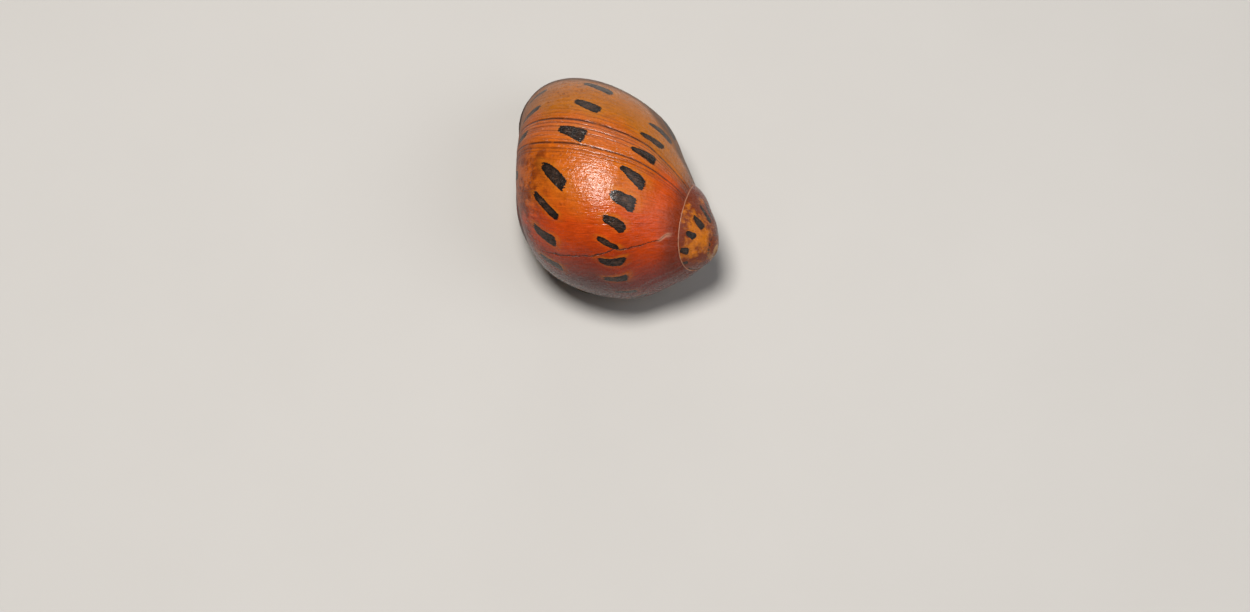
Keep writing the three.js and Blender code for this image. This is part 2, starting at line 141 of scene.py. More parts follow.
def closedGrid(name, grid, values=None):
    # a piece from rows of points that close on themselves, with a pole at each end
    rows, columns = grid.shape[:2]
    flat = {}
    for key, value in (values or {}).items():
        flat[key] = withPoles(value.reshape(rows, columns, -1)).squeeze()
    return makePiece(name, withPoles(grid), closedFaces(rows, columns), flat)


def tubeAlong(path, radius, columns, upward):
    # rings square to a path: path + radius * (side * cos(turn) + up * sin(turn))
    forward = unit(np.gradient(path, axis=0))
    side = unit(np.cross(upward, forward))
    up = np.cross(forward, side)
    turn = turns(columns)[None, :, None]
    ring = side[:, None] * np.cos(turn) + up[:, None] * np.sin(turn)
    return path[:, None] + radius[:, None, None] * ring


def wear(piece, material, slot, *nodes):
    # gives a piece its material and its body, and hides the solids that it stands for; slot is not used
    piece.data.materials.append(material)
    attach(piece, "root")
    if nodes:
        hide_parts(*nodes)


# Shader maths

class Wire:
    # a shader socket that ordinary operators work on

    def __init__(self, paint, socket):
        self.paint = paint
        self.socket = socket

    def maths(self, operation, *others):
        return self.paint.node("ShaderNodeMath", {"operation": operation}, dict(enumerate([self, *others])))

    def __add__(self, other):
        return self.maths("ADD", other)

    __radd__ = __add__

    def __sub__(self, other):
        return self.maths("SUBTRACT", other)

    def __rsub__(self, other):
        return self * -1 + other

    def __mul__(self, other):
        return self.maths("MULTIPLY", other)

    __rmul__ = __mul__

    def __truediv__(self, other):
        return self.maths("DIVIDE", other)

    def __pow__(self, other):
        return self.maths("POWER", other)

    def __abs__(self):
        return self.maths("ABSOLUTE")


class Paint:
    # a new material, and short ways to add its nodes

    def __init__(self, name):
        self.material = bpy.data.materials.new(name)
        self.material.use_nodes = True
        self.tree = self.material.node_tree
        self.tree.nodes.clear()

    def node(self, kind, settings=None, sockets=None, output=0):
        # any node, from its type, its settings, and the values or links of its sockets
        made = self.tree.nodes.new(kind)
        for key, value in (settings or {}).items():
            if key == "stops":
                self.setStops(made.color_ramp, value)
            else:
                setattr(made, key, value)
        for key, value in (sockets or {}).items():
            self.fill(made.inputs[key], value)
        return Wire(self, made.outputs[output]) if len(made.outputs) else None

    def setStops(self, ramp, stops):
        while len(ramp.elements) > 1:
            ramp.elements.remove(ramp.elements[-1])
        for place, colour in stops:
            first = place == stops[0][0]
            element = ramp.elements[0] if first else ramp.elements.new(place)
            element.position = place
            element.color = (*colour, 1)

    def fill(self, socket, value):
        if isinstance(value, Wire):
            self.tree.links.new(value.socket, socket)
        elif isinstance(value, tuple) and len(value) == 3 and socket.type == "RGBA":
            socket.default_value = (*value, 1)
        else:
            socket.default_value = value

    def attribute(self, name, output="Fac"):
        return self.node("ShaderNodeAttribute", {"attribute_name": name}, output=output)

    def split(self, vector):
        made = self.node("ShaderNodeSeparateXYZ", None, {0: vector})
        return [Wire(self, out) for out in made.socket.node.outputs]

    def join(self, x, y, z=0.0):
        return self.node("ShaderNodeCombineXYZ", None, {0: x, 1: y, 2: z})

    def place(self):
        return self.node("ShaderNodeTexCoord", output="Object")

    def noise(self, vector, scale, detail=3.0, roughness=0.55, distortion=0.0):
        sockets = {"Vector": vector, "Scale": scale, "Detail": detail, "Roughness": roughness}
        return self.node("ShaderNodeTexNoise", None, {**sockets, "Distortion": distortion})

    def cells(self, vector, scale):
        # distance to the nearest of many scattered points
        return self.node("ShaderNodeTexVoronoi", None, {"Vector": vector, "Scale": scale}, "Distance")

    def ease(self, low, high, x, first=0.0, last=1.0):
        # first to last as x goes from low to high, with soft ends
        return self.node("ShaderNodeMapRange", {"interpolation_type": "SMOOTHSTEP"},
                         {"Value": x, "From Min": low, "From Max": high, "To Min": first, "To Max": last})

    def fade(self, low, high, x):
        # 1 to 0 as x goes from low to high
        return self.ease(low, high, x, 1.0, 0.0)

    def tint(self, share, first, second):
        # first where share is 0 and second where it is 1
        return self.node("ShaderNodeMix", {"data_type": "RGBA"}, {0: share, 6: first, 7: second}, 2)

    def multiply(self, colour, grey):
        return self.node("ShaderNodeVectorMath", {"operation": "SCALE"}, {0: colour, 3: grey})

    def bump(self, height, strength, distance):
        sockets = {"Height": height, "Strength": strength, "Distance": distance}
        return self.node("ShaderNodeBump", None, sockets)

    def finish(self, **sockets):
        named = {key.replace("_", " "): value for key, value in sockets.items()}
        made = self.node("ShaderNodeBsdfPrincipled", None, named)
        self.node("ShaderNodeOutputMaterial", None, {"Surface": made})
        return self.material


# The coil, as it is in the solids: psi runs along the tube to the lip, t round its section,
# from the shoulder by the suture (above 0) to the base (below 0)
coil = {
    "offset": 4.43,  # the section's middle, away from the axis, where the whorl's size is 1
    "below": 13.5,  # and along the axis from the apex
    "halfWidth": 7.11,
    "halfLength": 11.8,
    "tilt": 0.286,  # of the section, against the axis
    "roundness": 2.12,  # the section's power, 2 for an ellipse
    "shoulderDip": 0.155,
    "shoulderAt": 0.93,
    "shoulderWidth": 0.524,
    "growth": 0.1376,  # of the size's logarithm, for each radian
    "slowing": -0.0568,
    "slowingFrom": -2.2,
    "slowingOver": 1.6,
    "drop": 0.712,  # how far the last whorl slides down the axis, for each radian
    "dropFrom": -1.5,
    "dropOver": 1.2,
    "azimuth": math.radians(-27.15),  # of the axis
    "rise": math.radians(12.2),
    "phase": math.radians(-64.4),  # where psi is 0
    "apex": (10.4, -7.7, 8.7),  # in the coil's own frame
    "lip": 0.973,  # psi of the lip by the suture
    "lean": (-0.3826, 0.1731, -0.0447),  # of the growth lines, as powers of 1 - t
    "basePitch": math.radians(5),  # of the underside's plane
    "baseFront": 10.7,
    "baseHeight": 3.7,
}
eyePlace = np.array([-4.15, 8.0, 2.45])  # of the left eye, in the coil's own frame
origin = nodeMiddle("eye_left") - eyePlace
bodyStart = coil["lip"] - fullTurn


def turnedAxes():
    # the coiling axis, and two directions square to it from which psi is counted
    azimuth, rise, phase = coil["azimuth"], coil["rise"], coil["phase"]
    level = np.array([math.cos(azimuth), math.sin(azimuth), 0])
    axis = math.cos(rise) * level + [0, 0, math.sin(rise)]
    up = -math.sin(rise) * level + [0, 0, math.cos(rise)]
    first = math.cos(phase) * up + math.sin(phase) * np.cross(axis, up)
    return axis, first, np.cross(axis, first)


axis, shellX, shellY = turnedAxes()
apexAt = np.array(coil["apex"]) + origin


def expansion(psi):
    # widening: an exponential whose rate falls on the last whorl
    past = np.log1p(np.exp((psi - coil["slowingFrom"]) / coil["slowingOver"]))
    return np.exp(coil["growth"] * psi + coil["slowing"] * coil["slowingOver"] * past)


def sinking(psi):
    # how far the whorl has slid down the axis: none at first, then a steady slope
    return coil["drop"] * coil["dropOver"] * np.log1p(np.exp((psi - coil["dropFrom"]) / coil["dropOver"]))


def sectionRadius(t):
    # a superellipse, with a shallow dip at the shoulder
    power = coil["roundness"]
    oval = (np.abs(np.cos(t) / coil["halfWidth"]) ** power
            + np.abs(np.sin(t) / coil["halfLength"]) ** power) ** (-1 / power)
    turned = (t + math.pi) % fullTurn - math.pi
    dip = np.exp(-(((turned - coil["shoulderAt"]) / coil["shoulderWidth"]) ** 2))
    return oval * (1 - coil["shoulderDip"] * dip)


def sectionPlace(psi, t, grow=0.0):
    # the section, scaled by the whorl's size and grown: distance from the axis, and along it from the apex
    size = expansion(psi)
    reach = sectionRadius(t) * size + grow
    across = reach * (np.cos(t) * math.cos(coil["tilt"]) - np.sin(t) * math.sin(coil["tilt"]))
    along = reach * (np.cos(t) * math.sin(coil["tilt"]) + np.sin(t) * math.cos(coil["tilt"]))
    return coil["offset"] * size + across, -coil["below"] * size + along - sinking(psi)


def onCoil(psi, radius, height):
    # the point at that turn, distance from the axis and place along it
    psi, radius, height = np.broadcast_arrays(psi, radius, height)
    return (apexAt + shellX * (radius * np.cos(psi))[..., None]
            - shellY * (radius * np.sin(psi))[..., None] + axis * height[..., None])


def tubePoint(psi, t):
    # a point of the tube's surface, never quite on the axis
    radius, height = sectionPlace(psi, t)
    return onCoil(psi, np.maximum(radius, 0.02), height)


def leanAt(t):
    # how far a growth line runs ahead of the suture at t
    return sum(share * (1 - t) ** (power + 1) for power, share in enumerate(coil["lean"]))


def sectionDepth(radius, height, psi):
    # how deep a place lies inside the tube's section at psi, and its t there
    size = expansion(psi)
    radial = radius - coil["offset"] * size
    axial = height + coil["below"] * size + sinking(psi)
    u = radial * math.cos(coil["tilt"]) + axial * math.sin(coil["tilt"])
    v = -radial * math.sin(coil["tilt"]) + axial * math.cos(coil["tilt"])
    t = np.arctan2(v, u)
    return sectionRadius(t) * size - np.hypot(u, v), t


def tubeDepth(points, turn):
    # how deep points lie in the whorl that many turns back from the last, with their psi and t there
    away = points - apexAt
    x, y = away @ shellX, -(away @ shellY)
    psi = coil["lip"] - (coil["lip"] - np.arctan2(y, x)) % fullTurn - fullTurn * turn
    depth, t = sectionDepth(np.hypot(x, y), away @ axis, psi)
    return depth, psi, t


def firstInside(psi, t, shift):
    # for each psi, the first t of a list where the whorl's surface lies inside the whorl a shift away
    radius, height = sectionPlace(psi, t[:, None])
    depth = sectionDepth(radius, height, psi + shift)[0]
    return t[np.argmax(depth > 0, axis=0)]


def sutureOf(psi):
    # t where the whorl meets the one before it, going in from the shoulder
    return firstInside(psi, np.linspace(0.2, 2.2, 500), -fullTurn)


def coveredBelow(psi):
    # t below which the next whorl hides this one
    return firstInside(psi, np.linspace(1.5, -2.2, 700), fullTurn)


# The underside's own frame: right, forward along it, and up from it
baseAt = np.array([0, coil["baseFront"], coil["baseHeight"]]) + origin
baseAxes = np.array([[1, 0, 0],
                     [0, math.cos(coil["basePitch"]), math.sin(coil["basePitch"])],
                     [0, -math.sin(coil["basePitch"]), math.cos(coil["basePitch"])]])


def fromBase(points):
    # out of the underside's frame: right * x + forward * y + up * z + its origin
    return points @ baseAxes + baseAt


def toBase(points):
    # and into it
    return (points - baseAt) @ baseAxes.T


# Rows of dark dashes along the whorls: each dash's place in growth (radians), its t, length, width,
# slant and bend (millimetres, and millimetres sideways for each along), oldest first
dashRows = {
    "shoulderRow": {
        "at": [-8.49, -8.03, -7.51, -7.03, -6.52, -2.19, -1.905, -1.64, -1.415, -1.13, -0.835, -0.515,
               -0.255, -0.005],
        "t": [0.6, 0.62, 0.77, 0.86, 0.88, 0.25, 0.25, 0.14, 0.27, 0.32, 0.37, 0.375, 0.36, 0.385],
        "length": [1.6, 2.1, 2.2, 2.6, 3.1, 2.5, 2.75, 2.0, 2.85, 2.7, 2.9, 2.6, 2.45, 2.7],
        "width": [0.9, 1.6, 1.2, 1.5, 0.8, 0.8, 1.0, 0.62, 0.95, 1.35, 0.98, 0.78, 0.72, 0.75],
        "slant": [0.3, 0.5, 0.3, 0.5, 0.1, 0.25, 0.15, 0.62, 0.52, 0.34, 0.42, -0.06, -0.2, -0.3],
        "bend": [0.0, 0.1, 0.0, 0.0, 0.0, 0.1, 0.2, -0.05, -0.06, 0.0, 0.0, 0.0, 0.02, 0.0],
        "mmAcross": 7.1,
        "ahead": 0.33,
    },
    "middleRow": {
        "at": [-1.955, -1.605, -1.285, -0.985, -0.515, -0.175, 0.19],
        "t": [-0.885, -0.9, -0.885, -0.83, -0.745, -0.715, -0.735],
        "length": [2.5, 2.6, 3.0, 3.1, 2.8, 2.65, 2.9],
        "width": [0.95, 1.15, 0.85, 1.3, 1.1, 1.0, 1.0],
        "slant": [0.45, 0.5, 0.75, 0.7, 0.15, 0.27, 0.3],
        "bend": [0.0, 0.08, 0.0, 0.05, -0.03, 0.0, -0.03],
        "mmAcross": 9.8,
        "ahead": 0.34,
    },
    "baseRow": {
        "at": [-0.94, -0.51, -0.2],
        "t": [-1.5, -1.42, -1.37],
        "length": [2.3, 1.9, 2.2],
        "width": [0.7, 0.6, 0.7],
        "slant": [0.2, -0.2, -0.25],
        "bend": [0.0, 0.0, 0.0],
        "mmAcross": 11.9,
        "ahead": 0.33,
    },
}
dashForm = ("t", "length", "width", "slant", "bend")
dashSpread = {
    "widestGap": 1.8,  # in usual steps, past which a gap is filled
    "before": 20,
    "stepBefore": 1.3,
    "after": 6,
    "slower": 1.04,  # a step is this much longer along the slanting growth
    "fullSize": 0.78,  # whorl size at which the dashes have their listed size
    "sizes": (0.3, 1.1),
}


def filledRow(row):
    # the listed dashes, with more at the same pace in the gaps, back to the apex and on past the lip
    at, form = list(row["at"]), {key: list(row[key]) for key in dashForm}
    count, k = len(at), 0
    while k < len(at) - 1:
        gap = at[k + 1] - at[k]
        if gap > dashSpread["widestGap"] * row["ahead"]:
            pieces = round(gap / row["ahead"])
            at.insert(k + 1, at[k] + gap / pieces)
            for key in dashForm[1:]:
                form[key].insert(k + 1, row[key][(k * 5 + 2) % count])
            form["t"].insert(k + 1, form["t"][k] + (form["t"][k + 1] - form["t"][k]) / pieces)
        k += 1
    for step in range(dashSpread["before"]):
        at.insert(0, at[0] - row["ahead"] * dashSpread["stepBefore"])
        for key in dashForm:
            form[key].insert(0, form[key][0] if key == "t" else row[key][(step * 3) % count])
    for step in range(dashSpread["after"]):
        at.append(at[-1] + row["ahead"])
        for key in dashForm:
            form[key].append(form[key][-1] if key == "t" else row[key][(step * 3 + 1) % count])
    return np.array(at), {key: np.array(value) for key, value in form.items()}


def dashValues(name, growthLine, t, size, psi):
    # for each point, how many dashes are passed, how far along it and how wide a step is; the dash's form
    row = dashRows[name]
    at, form = filledRow(row)
    perRadian = np.maximum(sectionPlace(psi, t)[0], 0.5) * dashSpread["slower"]
    pace = np.interp(growthLine, (at[1:] + at[:-1]) / 2, np.diff(at)) * perRadian
    shape = {key: np.interp(growthLine, at, form[key]) for key in form}
    along = (t - shape["t"]) * row["mmAcross"] * size
    shrink = np.clip(size / dashSpread["fullSize"], *dashSpread["sizes"])  # smaller on the early whorls
    passed = np.interp(growthLine, at, np.arange(len(at)))
    place = np.stack([passed, along, pace, shape["slant"]], -1)
    outline = np.stack([shape["length"] / 2 * shrink, shape["width"] / 2 * shrink, shape["bend"]], -1)
    return {name: place, name + "Form": outline}


def growthValues(points):
    # growth line, t, size and psi of points on or near the shell, in the whorl that they lie deepest in
    best = None
    for turn in (-1, 0, 1, 2):
        depth, psi, t = tubeDepth(points, turn)
        if turn == -1:
            depth = np.where(psi < coil["lip"] + leanAt(t) + bodyShell["pastLip"], depth, -99.0)
        if best is None:
            best = [depth, psi, t]
            continue
        better = depth > best[0]
        best = [np.where(better, new, old) for new, old in zip((depth, psi, t), best)]
    depth, psi, t = best
    return psi - leanAt(np.clip(t, -2.3, 1.6)), t, expansion(psi), psi


def shellValues(growthLine, t, size, psi, callus, crack):
    # the attributes that the shell's paint reads
    values = {"growthLine": growthLine, "acrossWhorl": t, "whorlSize": size}
    values.update({"callus": callus, "crack": crack})
    for name in dashRows:
        values.update(dashValues(name, growthLine, t, size, psi))
    return values


# The last whorl, with the underside and the mouth

bodyShell = {
    "columns": 440,
    "domeRows": 150,
    "undersideRows": 16,
    "mouthRows": 20,
    "rayFrom": (-0.6, -11.4, 0.0),  # in the underside's frame
    "rayLengths": (21.0, 1.0),
    "raySteps": 61,
    "rayHalvings": 16,
    "rearRound": 0.9,
    "lipRound": 0.2,
    "pastLip": 0.3,  # psi by which the lip stands ahead of its growth line, and more by the suture
    "pastLipBySuture": 0.7,
    "spireSink": 0.4,
    "padMiddle": (-2.7, -0.8, 5.1),
    "padRadii": (5.6, 7.4, 4.8),
    "padBlend": 1.2,
    "lipWall": 0.85,
    "lipLift": 0.3,
    "deckEdge": 1.9,  # y of the mouth's straight edge at its middle
    "deckMiddle": -0.6,
    "deckTurn": math.radians(-19),
    "mouthMiddle": (-1.6, -4.9),  # in the underside's frame
    "mouthDepth": 3.9,
    "mouthWall": 0.6,  # share of the rows that climb the wall before the roof
    "mouthNarrows": 0.1,
    "roofRise": 0.3,
}
crackLine = {
    "t": [-2.0, -0.9, -0.14, 0.28, 0.5, 0.77, 1.03, 1.12, 1.3],
    "growth": [-1.86, -1.81, -1.8, -1.735, -1.75, -1.752, -1.70, -1.6, -1.52],
    "mmEachRadian": 8.0,
}
relief = {
    # place in growth, and depth
    "rests": {-0.385: 0.035, -0.47: 0.02, -0.645: 0.04, -0.72: 0.02, 0.28: 0.015, 0.55: 0.02, -1.3: 0.01,
              -1.78: 0.03, -2.6: 0.02, -3.3: 0.03, -4.1: 0.02},
    "width": 0.05,
    "ledgeAhead": 1.6,  # in widths
    "ledge": 0.6,  # share of the groove's depth
    "onFlank": 0.4,
    "bySuture": 1.3,
    "swell": 0.012,
}


def softMax(a, b, width):
    # the larger of two, with a fillet where they are closer than a width
    near = np.maximum(width - np.abs(a - b), 0) / width
    return np.maximum(a, b) + near * near * width / 4


def depthToLip(points, turn):
    # depth in the tube as far as the lip, where the tube thins out at the base
    depth, psi, t = tubeDepth(points, turn)
    inRange = np.clip(t, -2, 1.2)
    reach = bodyShell["pastLip"] + bodyShell["pastLipBySuture"] * smooth(-0.5, 1.2, inRange)
    past = psi - coil["lip"] - leanAt(inRange) - reach
    fading = smooth(-0.9, -1.7, t)
    depth = depth - 2.0 * fading * np.maximum(past + 0.5, 0) ** 1.5
    return np.where(past < 0.3 * fading, depth, -99.0)


def wornLevel(radius):
    # height along the axis of the worn tip: a flat bowl upside down
    return -spire["wear"] - spire["wearBowl"] * radius ** 2


def wholeDepth(points):
    # last whorl, its run past the lip, the spire sunk a little, and the pad over the umbilicus
    depth = np.maximum(depthToLip(points, 0), depthToLip(points, -1))
    away = points - apexAt
    height = away @ axis
    fromAxis = np.linalg.norm(away - height[..., None] * axis, axis=-1)
    underTip = wornLevel(fromAxis) - height - bodyShell["spireSink"]
    for turn in (1, 2, 3):
        early, psiEarly, _ = tubeDepth(points, turn)
        early = early - bodyShell["spireSink"] * smooth(0, 0.7, bodyStart - psiEarly)
        depth = np.maximum(depth, np.minimum(early, underTip))
    radii = np.array(bodyShell["padRadii"])
    share = np.linalg.norm((points - np.array(bodyShell["padMiddle"]) - origin) / radii, axis=-1)
    return softMax(depth, (1 - share) * radii.mean(), bodyShell["padBlend"])


def rayLengths(start, directions):
    # the outermost crossing on each ray, by steps from outside and then by halving
    far = np.linspace(*bodyShell["rayLengths"], bodyShell["raySteps"])
    reach = np.full(directions.shape[:-1], far[-1])
    found = np.zeros(directions.shape[:-1], bool)
    for distance in far:
        inside = wholeDepth(start + directions * distance) > 0
        new = inside & ~found
        reach[new] = distance
        found |= inside
    low, high = reach.copy(), reach + (far[0] - far[1])
    for _ in range(bodyShell["rayHalvings"]):
        middle = (low + high) / 2
        inside = wholeDepth(start + directions * middle[..., None]) > 0
        low = np.where(inside, middle, low)
        high = np.where(inside, high, middle)
    return low


def polar(points, centre, angle):
    # radius of a closed outline about a centre, at each angle
    away = points - centre
    own = np.arctan2(away[:, 1], away[:, 0])
    order = np.argsort(own)
    return np.interp(angle, own[order], np.hypot(away[:, 0], away[:, 1])[order], period=fullTurn)


def deckLine(angle, centre):
    # distance from a centre to the mouth's straight edge, in each direction
    turn = bodyShell["deckTurn"]
    normal = np.array([-math.sin(turn), math.cos(turn)])
    edge = np.array([bodyShell["deckMiddle"] + origin[0], bodyShell["deckEdge"] - coil["baseFront"]])
    gap = (edge - centre) @ normal
    facing = np.cos(angle) * normal[0] + np.sin(angle) * normal[1]
    return np.where(facing < -0.02, gap / np.minimum(facing, -0.02), 99.0)


def mouthOutline(angle, rim):
    # the mouth's edge about its own middle: the lip's inside, or the deck's edge, with soft corners
    centre = np.array(bodyShell["mouthMiddle"])
    lip = polar(rim, centre, angle) - bodyShell["lipWall"]
    return (lip ** -8 + deckLine(angle, centre) ** -8) ** (-1 / 8)


def domeGrid(angle, start):
    # start + direction * length, for rays at even turns and rises, each as long as the shell reaches
    rise = np.linspace(math.pi / 2 - 0.004, 0, bodyShell["domeRows"])[:, None]
    directions = np.stack([np.cos(rise) * np.cos(angle), np.cos(rise) * np.sin(angle),
                           np.sin(rise) + 0 * angle], -1)
    reach = rayLengths(fromBase(start), directions @ baseAxes)
    return start + directions * reach[..., None]


def roundedRim(dome, start):
    # the dome drawn in towards its middle near the underside, as a quarter circle goes
    front = smooth(-9.0, -4.0, dome[-1, :, 1])
    rounding = bodyShell["rearRound"] * (1 - front) + bodyShell["lipRound"] * front
    near = np.clip(1 - dome[..., 2] / rounding, 0, 1)
    inset = rounding * (1 - np.sqrt(np.maximum(1 - near ** 2, 0)))
    drawn = dome.copy()
    drawn[..., :2] -= unit(dome[..., :2] - start[:2]) * inset[..., None]
    return drawn


def growthRelief(growthLine, t):
    # a groove and a ledge beside it at each growth rest, deeper by the suture, over a faint swell
    strength = relief["onFlank"] + relief["bySuture"] * smooth(0.3, 1.1, t)
    total = relief["swell"] * np.sin(growthLine * 9 + 1.2 * np.sin(t * 2.1))
    for place, depth in relief["rests"].items():
        x = (growthLine - place) / relief["width"]
        ledge = relief["ledge"] * np.exp(-(x - relief["ledgeAhead"]) ** 2)
        total = total + depth * strength * (ledge - np.exp(-x ** 2))
    return total


def ledged(surface, inside, height):
    # the surface moved along its normals by the growth relief, which fades towards the underside
    across = np.gradient(surface, axis=0)
    around = np.roll(surface, -1, 1) - np.roll(surface, 1, 1)
    normal = unit(np.cross(around, across))
    outward = normal * np.sign(((surface - inside) * normal).sum(-1, keepdims=True))
    growthLine, t = growthValues(surface)[:2]
    lift = growthRelief(growthLine, t) * smooth(0.0, 1.2, height)
    return surface + outward * lift[..., None]


def undersideGrid(rim, edge):
    # straight from the rim to the mouth's edge, with the lip lifted
    share = np.linspace(0, 1, bodyShell["undersideRows"] + 1)[1:, None, None]
    flat = rim[None] * (1 - share) + edge[None] * share
    lift = bodyShell["lipLift"] * smooth(-9.5, -7.5, edge[:, 1]) * share[..., 0] ** 1.5
    return np.concatenate([flat, lift[..., None]], -1)


def mouthGrid(angle, reach, lift):
    # up the wall as the mouth narrows a little, and then in to the middle of its roof
    centre, depth = bodyShell["mouthMiddle"], bodyShell["mouthDepth"]
    wall = bodyShell["mouthWall"]
    steps = np.linspace(0, 1, bodyShell["mouthRows"] + 1)[1:]
    onWall = np.clip(steps / wall, 0, 1)[:, None]
    onRoof = np.clip((steps - wall) / (1 - wall), 0, 1)[:, None]
    rise = bodyShell["roofRise"]
    radius = reach * (1 - bodyShell["mouthNarrows"] * onWall) * (1 - 0.985 * onRoof) + 0.04
    height = lift + (depth - rise) * onWall + rise * np.sin(onRoof * math.pi / 2)
    return np.stack([centre[0] + np.cos(angle) * radius, centre[1] + np.sin(angle) * radius, height], -1)


def buildBody():
    # the dome with its rounded rim, the underside and the mouth, as one sheet
    angle = np.linspace(-math.pi, math.pi, bodyShell["columns"], endpoint=False)
    start = np.array(bodyShell["rayFrom"])
    dome = roundedRim(domeGrid(angle, start), start)
    rim = dome[-1, :, :2]
    reach = mouthOutline(angle, rim)
    edge = bodyShell["mouthMiddle"] + np.stack([np.cos(angle), np.sin(angle)], -1) * reach[:, None]
    under = undersideGrid(rim, edge)
    mouth = mouthGrid(angle, reach, under[-1, :, 2])
    outside = ledged(fromBase(dome), fromBase(start), dome[..., 2])
    grid = np.concatenate([outside, fromBase(under), fromBase(mouth)])
    byRim = smooth(0.5, 0.1, dome[..., 2]) * 0.8
    callus = np.concatenate([byRim, np.ones((len(under) + len(mouth), len(angle)))])
    growthLine, t, size, psi = growthValues(grid)
    crack = (growthLine - np.interp(t, crackLine["t"], crackLine["growth"])) * crackLine["mmEachRadian"]
    return closedGrid("shell_body", grid, shellValues(growthLine, t, size, psi, callus, crack)), rim


# The spire and the worn apex

spire = {
    "from": bodyStart + 0.45,
    "apexFrom": bodyStart - 5.4,
    "to": bodyStart - 16.0,
    "rowsEachTurn": 250,
    "columns": 64,
    "wall": 0.35,
    "wallUnder": 0.25,
    "wear": 0.62,
    "wearBowl": 0.12,
    "wearSoft": 0.35,
}


def spireSurface(psi, share):
    # the tube's outside, from just inside the suture (share 0) to just under the next whorl (share 1)
    high = sutureOf(psi) + 0.1
    low = coveredBelow(psi) - 0.3
    t = high[:, None] * (1 - share) + low[:, None] * share
    psi = psi[:, None] + 0 * share
    sink = -0.02 - 0.25 * smooth(0.05, 0.45, psi - bodyStart)
    radius, height = sectionPlace(psi, t, np.where(psi > bodyStart, sink, 0.0))
    radius = np.maximum(radius, 0.02)
    # the tip is worn down to a soft dome
    soft = spire["wearSoft"]
    level = wornLevel(radius)
    height = level - soft * np.log1p(np.exp((level - height) / soft))
    return onCoil(psi, radius, height), psi, t


def thereAndBack(sheet, back):
    # columns of one sheet, and then every fourth of another the other way
    return np.concatenate([sheet, back[:, ::-4]], 1)


def buildSpire():
    # a ribbon that winds up to the apex, with an inner side drawn in towards the axis
    pieces = []
    for name, start, stop in (("shell_spire_skin", spire["from"], spire["apexFrom"]),
                              ("shell_apex_skin", spire["apexFrom"], spire["to"])):
        rows = int(spire["rowsEachTurn"] * (start - stop) / fullTurn)
        share = np.linspace(0, 1, spire["columns"])[None, :]
        outer, psi, t = spireSurface(np.linspace(start, stop, rows), share)
        away = apexAt + axis * ((outer - apexAt) @ axis)[..., None] - outer
        reach = np.linalg.norm(away, axis=-1, keepdims=True)
        inward = away / np.maximum(reach, 1e-6) * np.minimum(spire["wall"], reach * 0.5)
        inner = outer + inward - axis * np.minimum(spire["wallUnder"], reach * 0.4)
        psi, t = thereAndBack(psi, psi), thereAndBack(t, t)
        callus, crack = np.zeros(t.shape), np.full(t.shape, 9.0)
        values = shellValues(psi - leanAt(t), t, expansion(psi), psi, callus, crack)
        pieces.append(closedGrid(name, thereAndBack(outer, inner), values))
    return pieces


thread = {
    "ahead": 0.8,  # psi past the lip
    "behind": 0.9,  # and past the start of the last whorl
    "steps": 360,
    "radius": 0.036,
    "wavering": 0.25,
    "columns": 10,
    "aboveRim": 0.25,
}


def buildThread():
    # a thin raised line that follows the suture, with a radius that wavers and fades out at the ends
    psi = np.linspace(coil["lip"] + thread["ahead"], bodyStart - thread["behind"], thread["steps"])
    path = tubePoint(psi, sutureOf(psi))
    shown = np.argmax(toBase(path)[:, 2] > thread["aboveRim"])
    psi, path = psi[shown:], path[shown:]
    radius = thread["radius"] * (expansion(psi) / expansion(coil["lip"])) ** 0.6
    radius = radius * (1 + thread["wavering"] * np.sin(9 * psi) * np.sin(23 * psi + 1))
    radius = radius * smooth(-0.01, 0.12, psi[0] - psi) * smooth(0, 1.2, psi - psi[-1]) + 0.01
    return closedGrid("suture_thread", tubeAlong(path, radius, thread["columns"], axis))


# Shell colours (scene linear)
shellColours = {
    "newOchre": (0.39, 0.112, 0.002),
    "orange": (0.46, 0.095, 0.003),
    "redOrange": (0.47, 0.048, 0.001),
    # the old part's deep red, partly the shell's own colour and partly painted shade
    "oldRedShaded": (0.13, 0.006, 0.0005),
    "mottle": (0.10, 0.012, 0.001),
    "halo": (0.52, 0.17, 0.006),
    "rest": (0.045, 0.010, 0.004),
    "pink": (0.46, 0.125, 0.05),
    "dash": (0.007, 0.005, 0.004),
    "dashStreak": (0.10, 0.050, 0.030),
    "callus": (0.60, 0.36, 0.12),
    # dark olive of the newest margin, partly the shell's own colour and partly painted shade
    "margin": (0.070, 0.022, 0.003),
    "spireYellow": (0.50, 0.14, 0.003),
    "spireBrown": (0.15, 0.021, 0.002),
    "worn": (0.46, 0.24, 0.09),
    "scar": (0.50, 0.26, 0.16),
}
# along the last whorl, from 0 where it is old to 1 at the lip
groundStops = {0.0: "oldRedShaded", 0.3: "oldRedShaded", 0.46: "redOrange", 0.54: "orange", 0.68: "orange",
               0.735: "newOchre", 1.0: "newOchre"}
shellFinish = {
    "ragged": 0.34,  # how far noise moves a dash's edge
    "fringe": 0.48,  # strength of the yellow fringe round a dash
    "crack": 0.9,
    "wornTip": 0.85,
    "relief": 0.8,
    "reliefDepth": 0.00009,  # metres
    "gloss": 0.15,  # roughness where the shell is smoothest
    "ior": 1.45,
    "specular": 0.5,
}
# Growth rests: place in growth, half width and how dark
growthRests = (
    (-0.385, 0.011, 0.95), (-0.43, 0.006, 0.5), (-0.47, 0.008, 0.6), (-0.52, 0.005, 0.45),
    (-0.645, 0.010, 0.9), (-0.70, 0.008, 0.5), (-0.735, 0.005, 0.4), (-0.31, 0.005, 0.35),
    (-0.26, 0.005, 0.25), (0.42, 0.010, 0.5), (0.55, 0.008, 0.4), (0.62, 0.006, 0.4),
    (0.68, 0.010, 0.5), (-1.42, 0.005, 0.2), (-2.9, 0.010, 0.7), (-3.6, 0.010, 0.7),
    (-4.6, 0.010, 0.6),
)


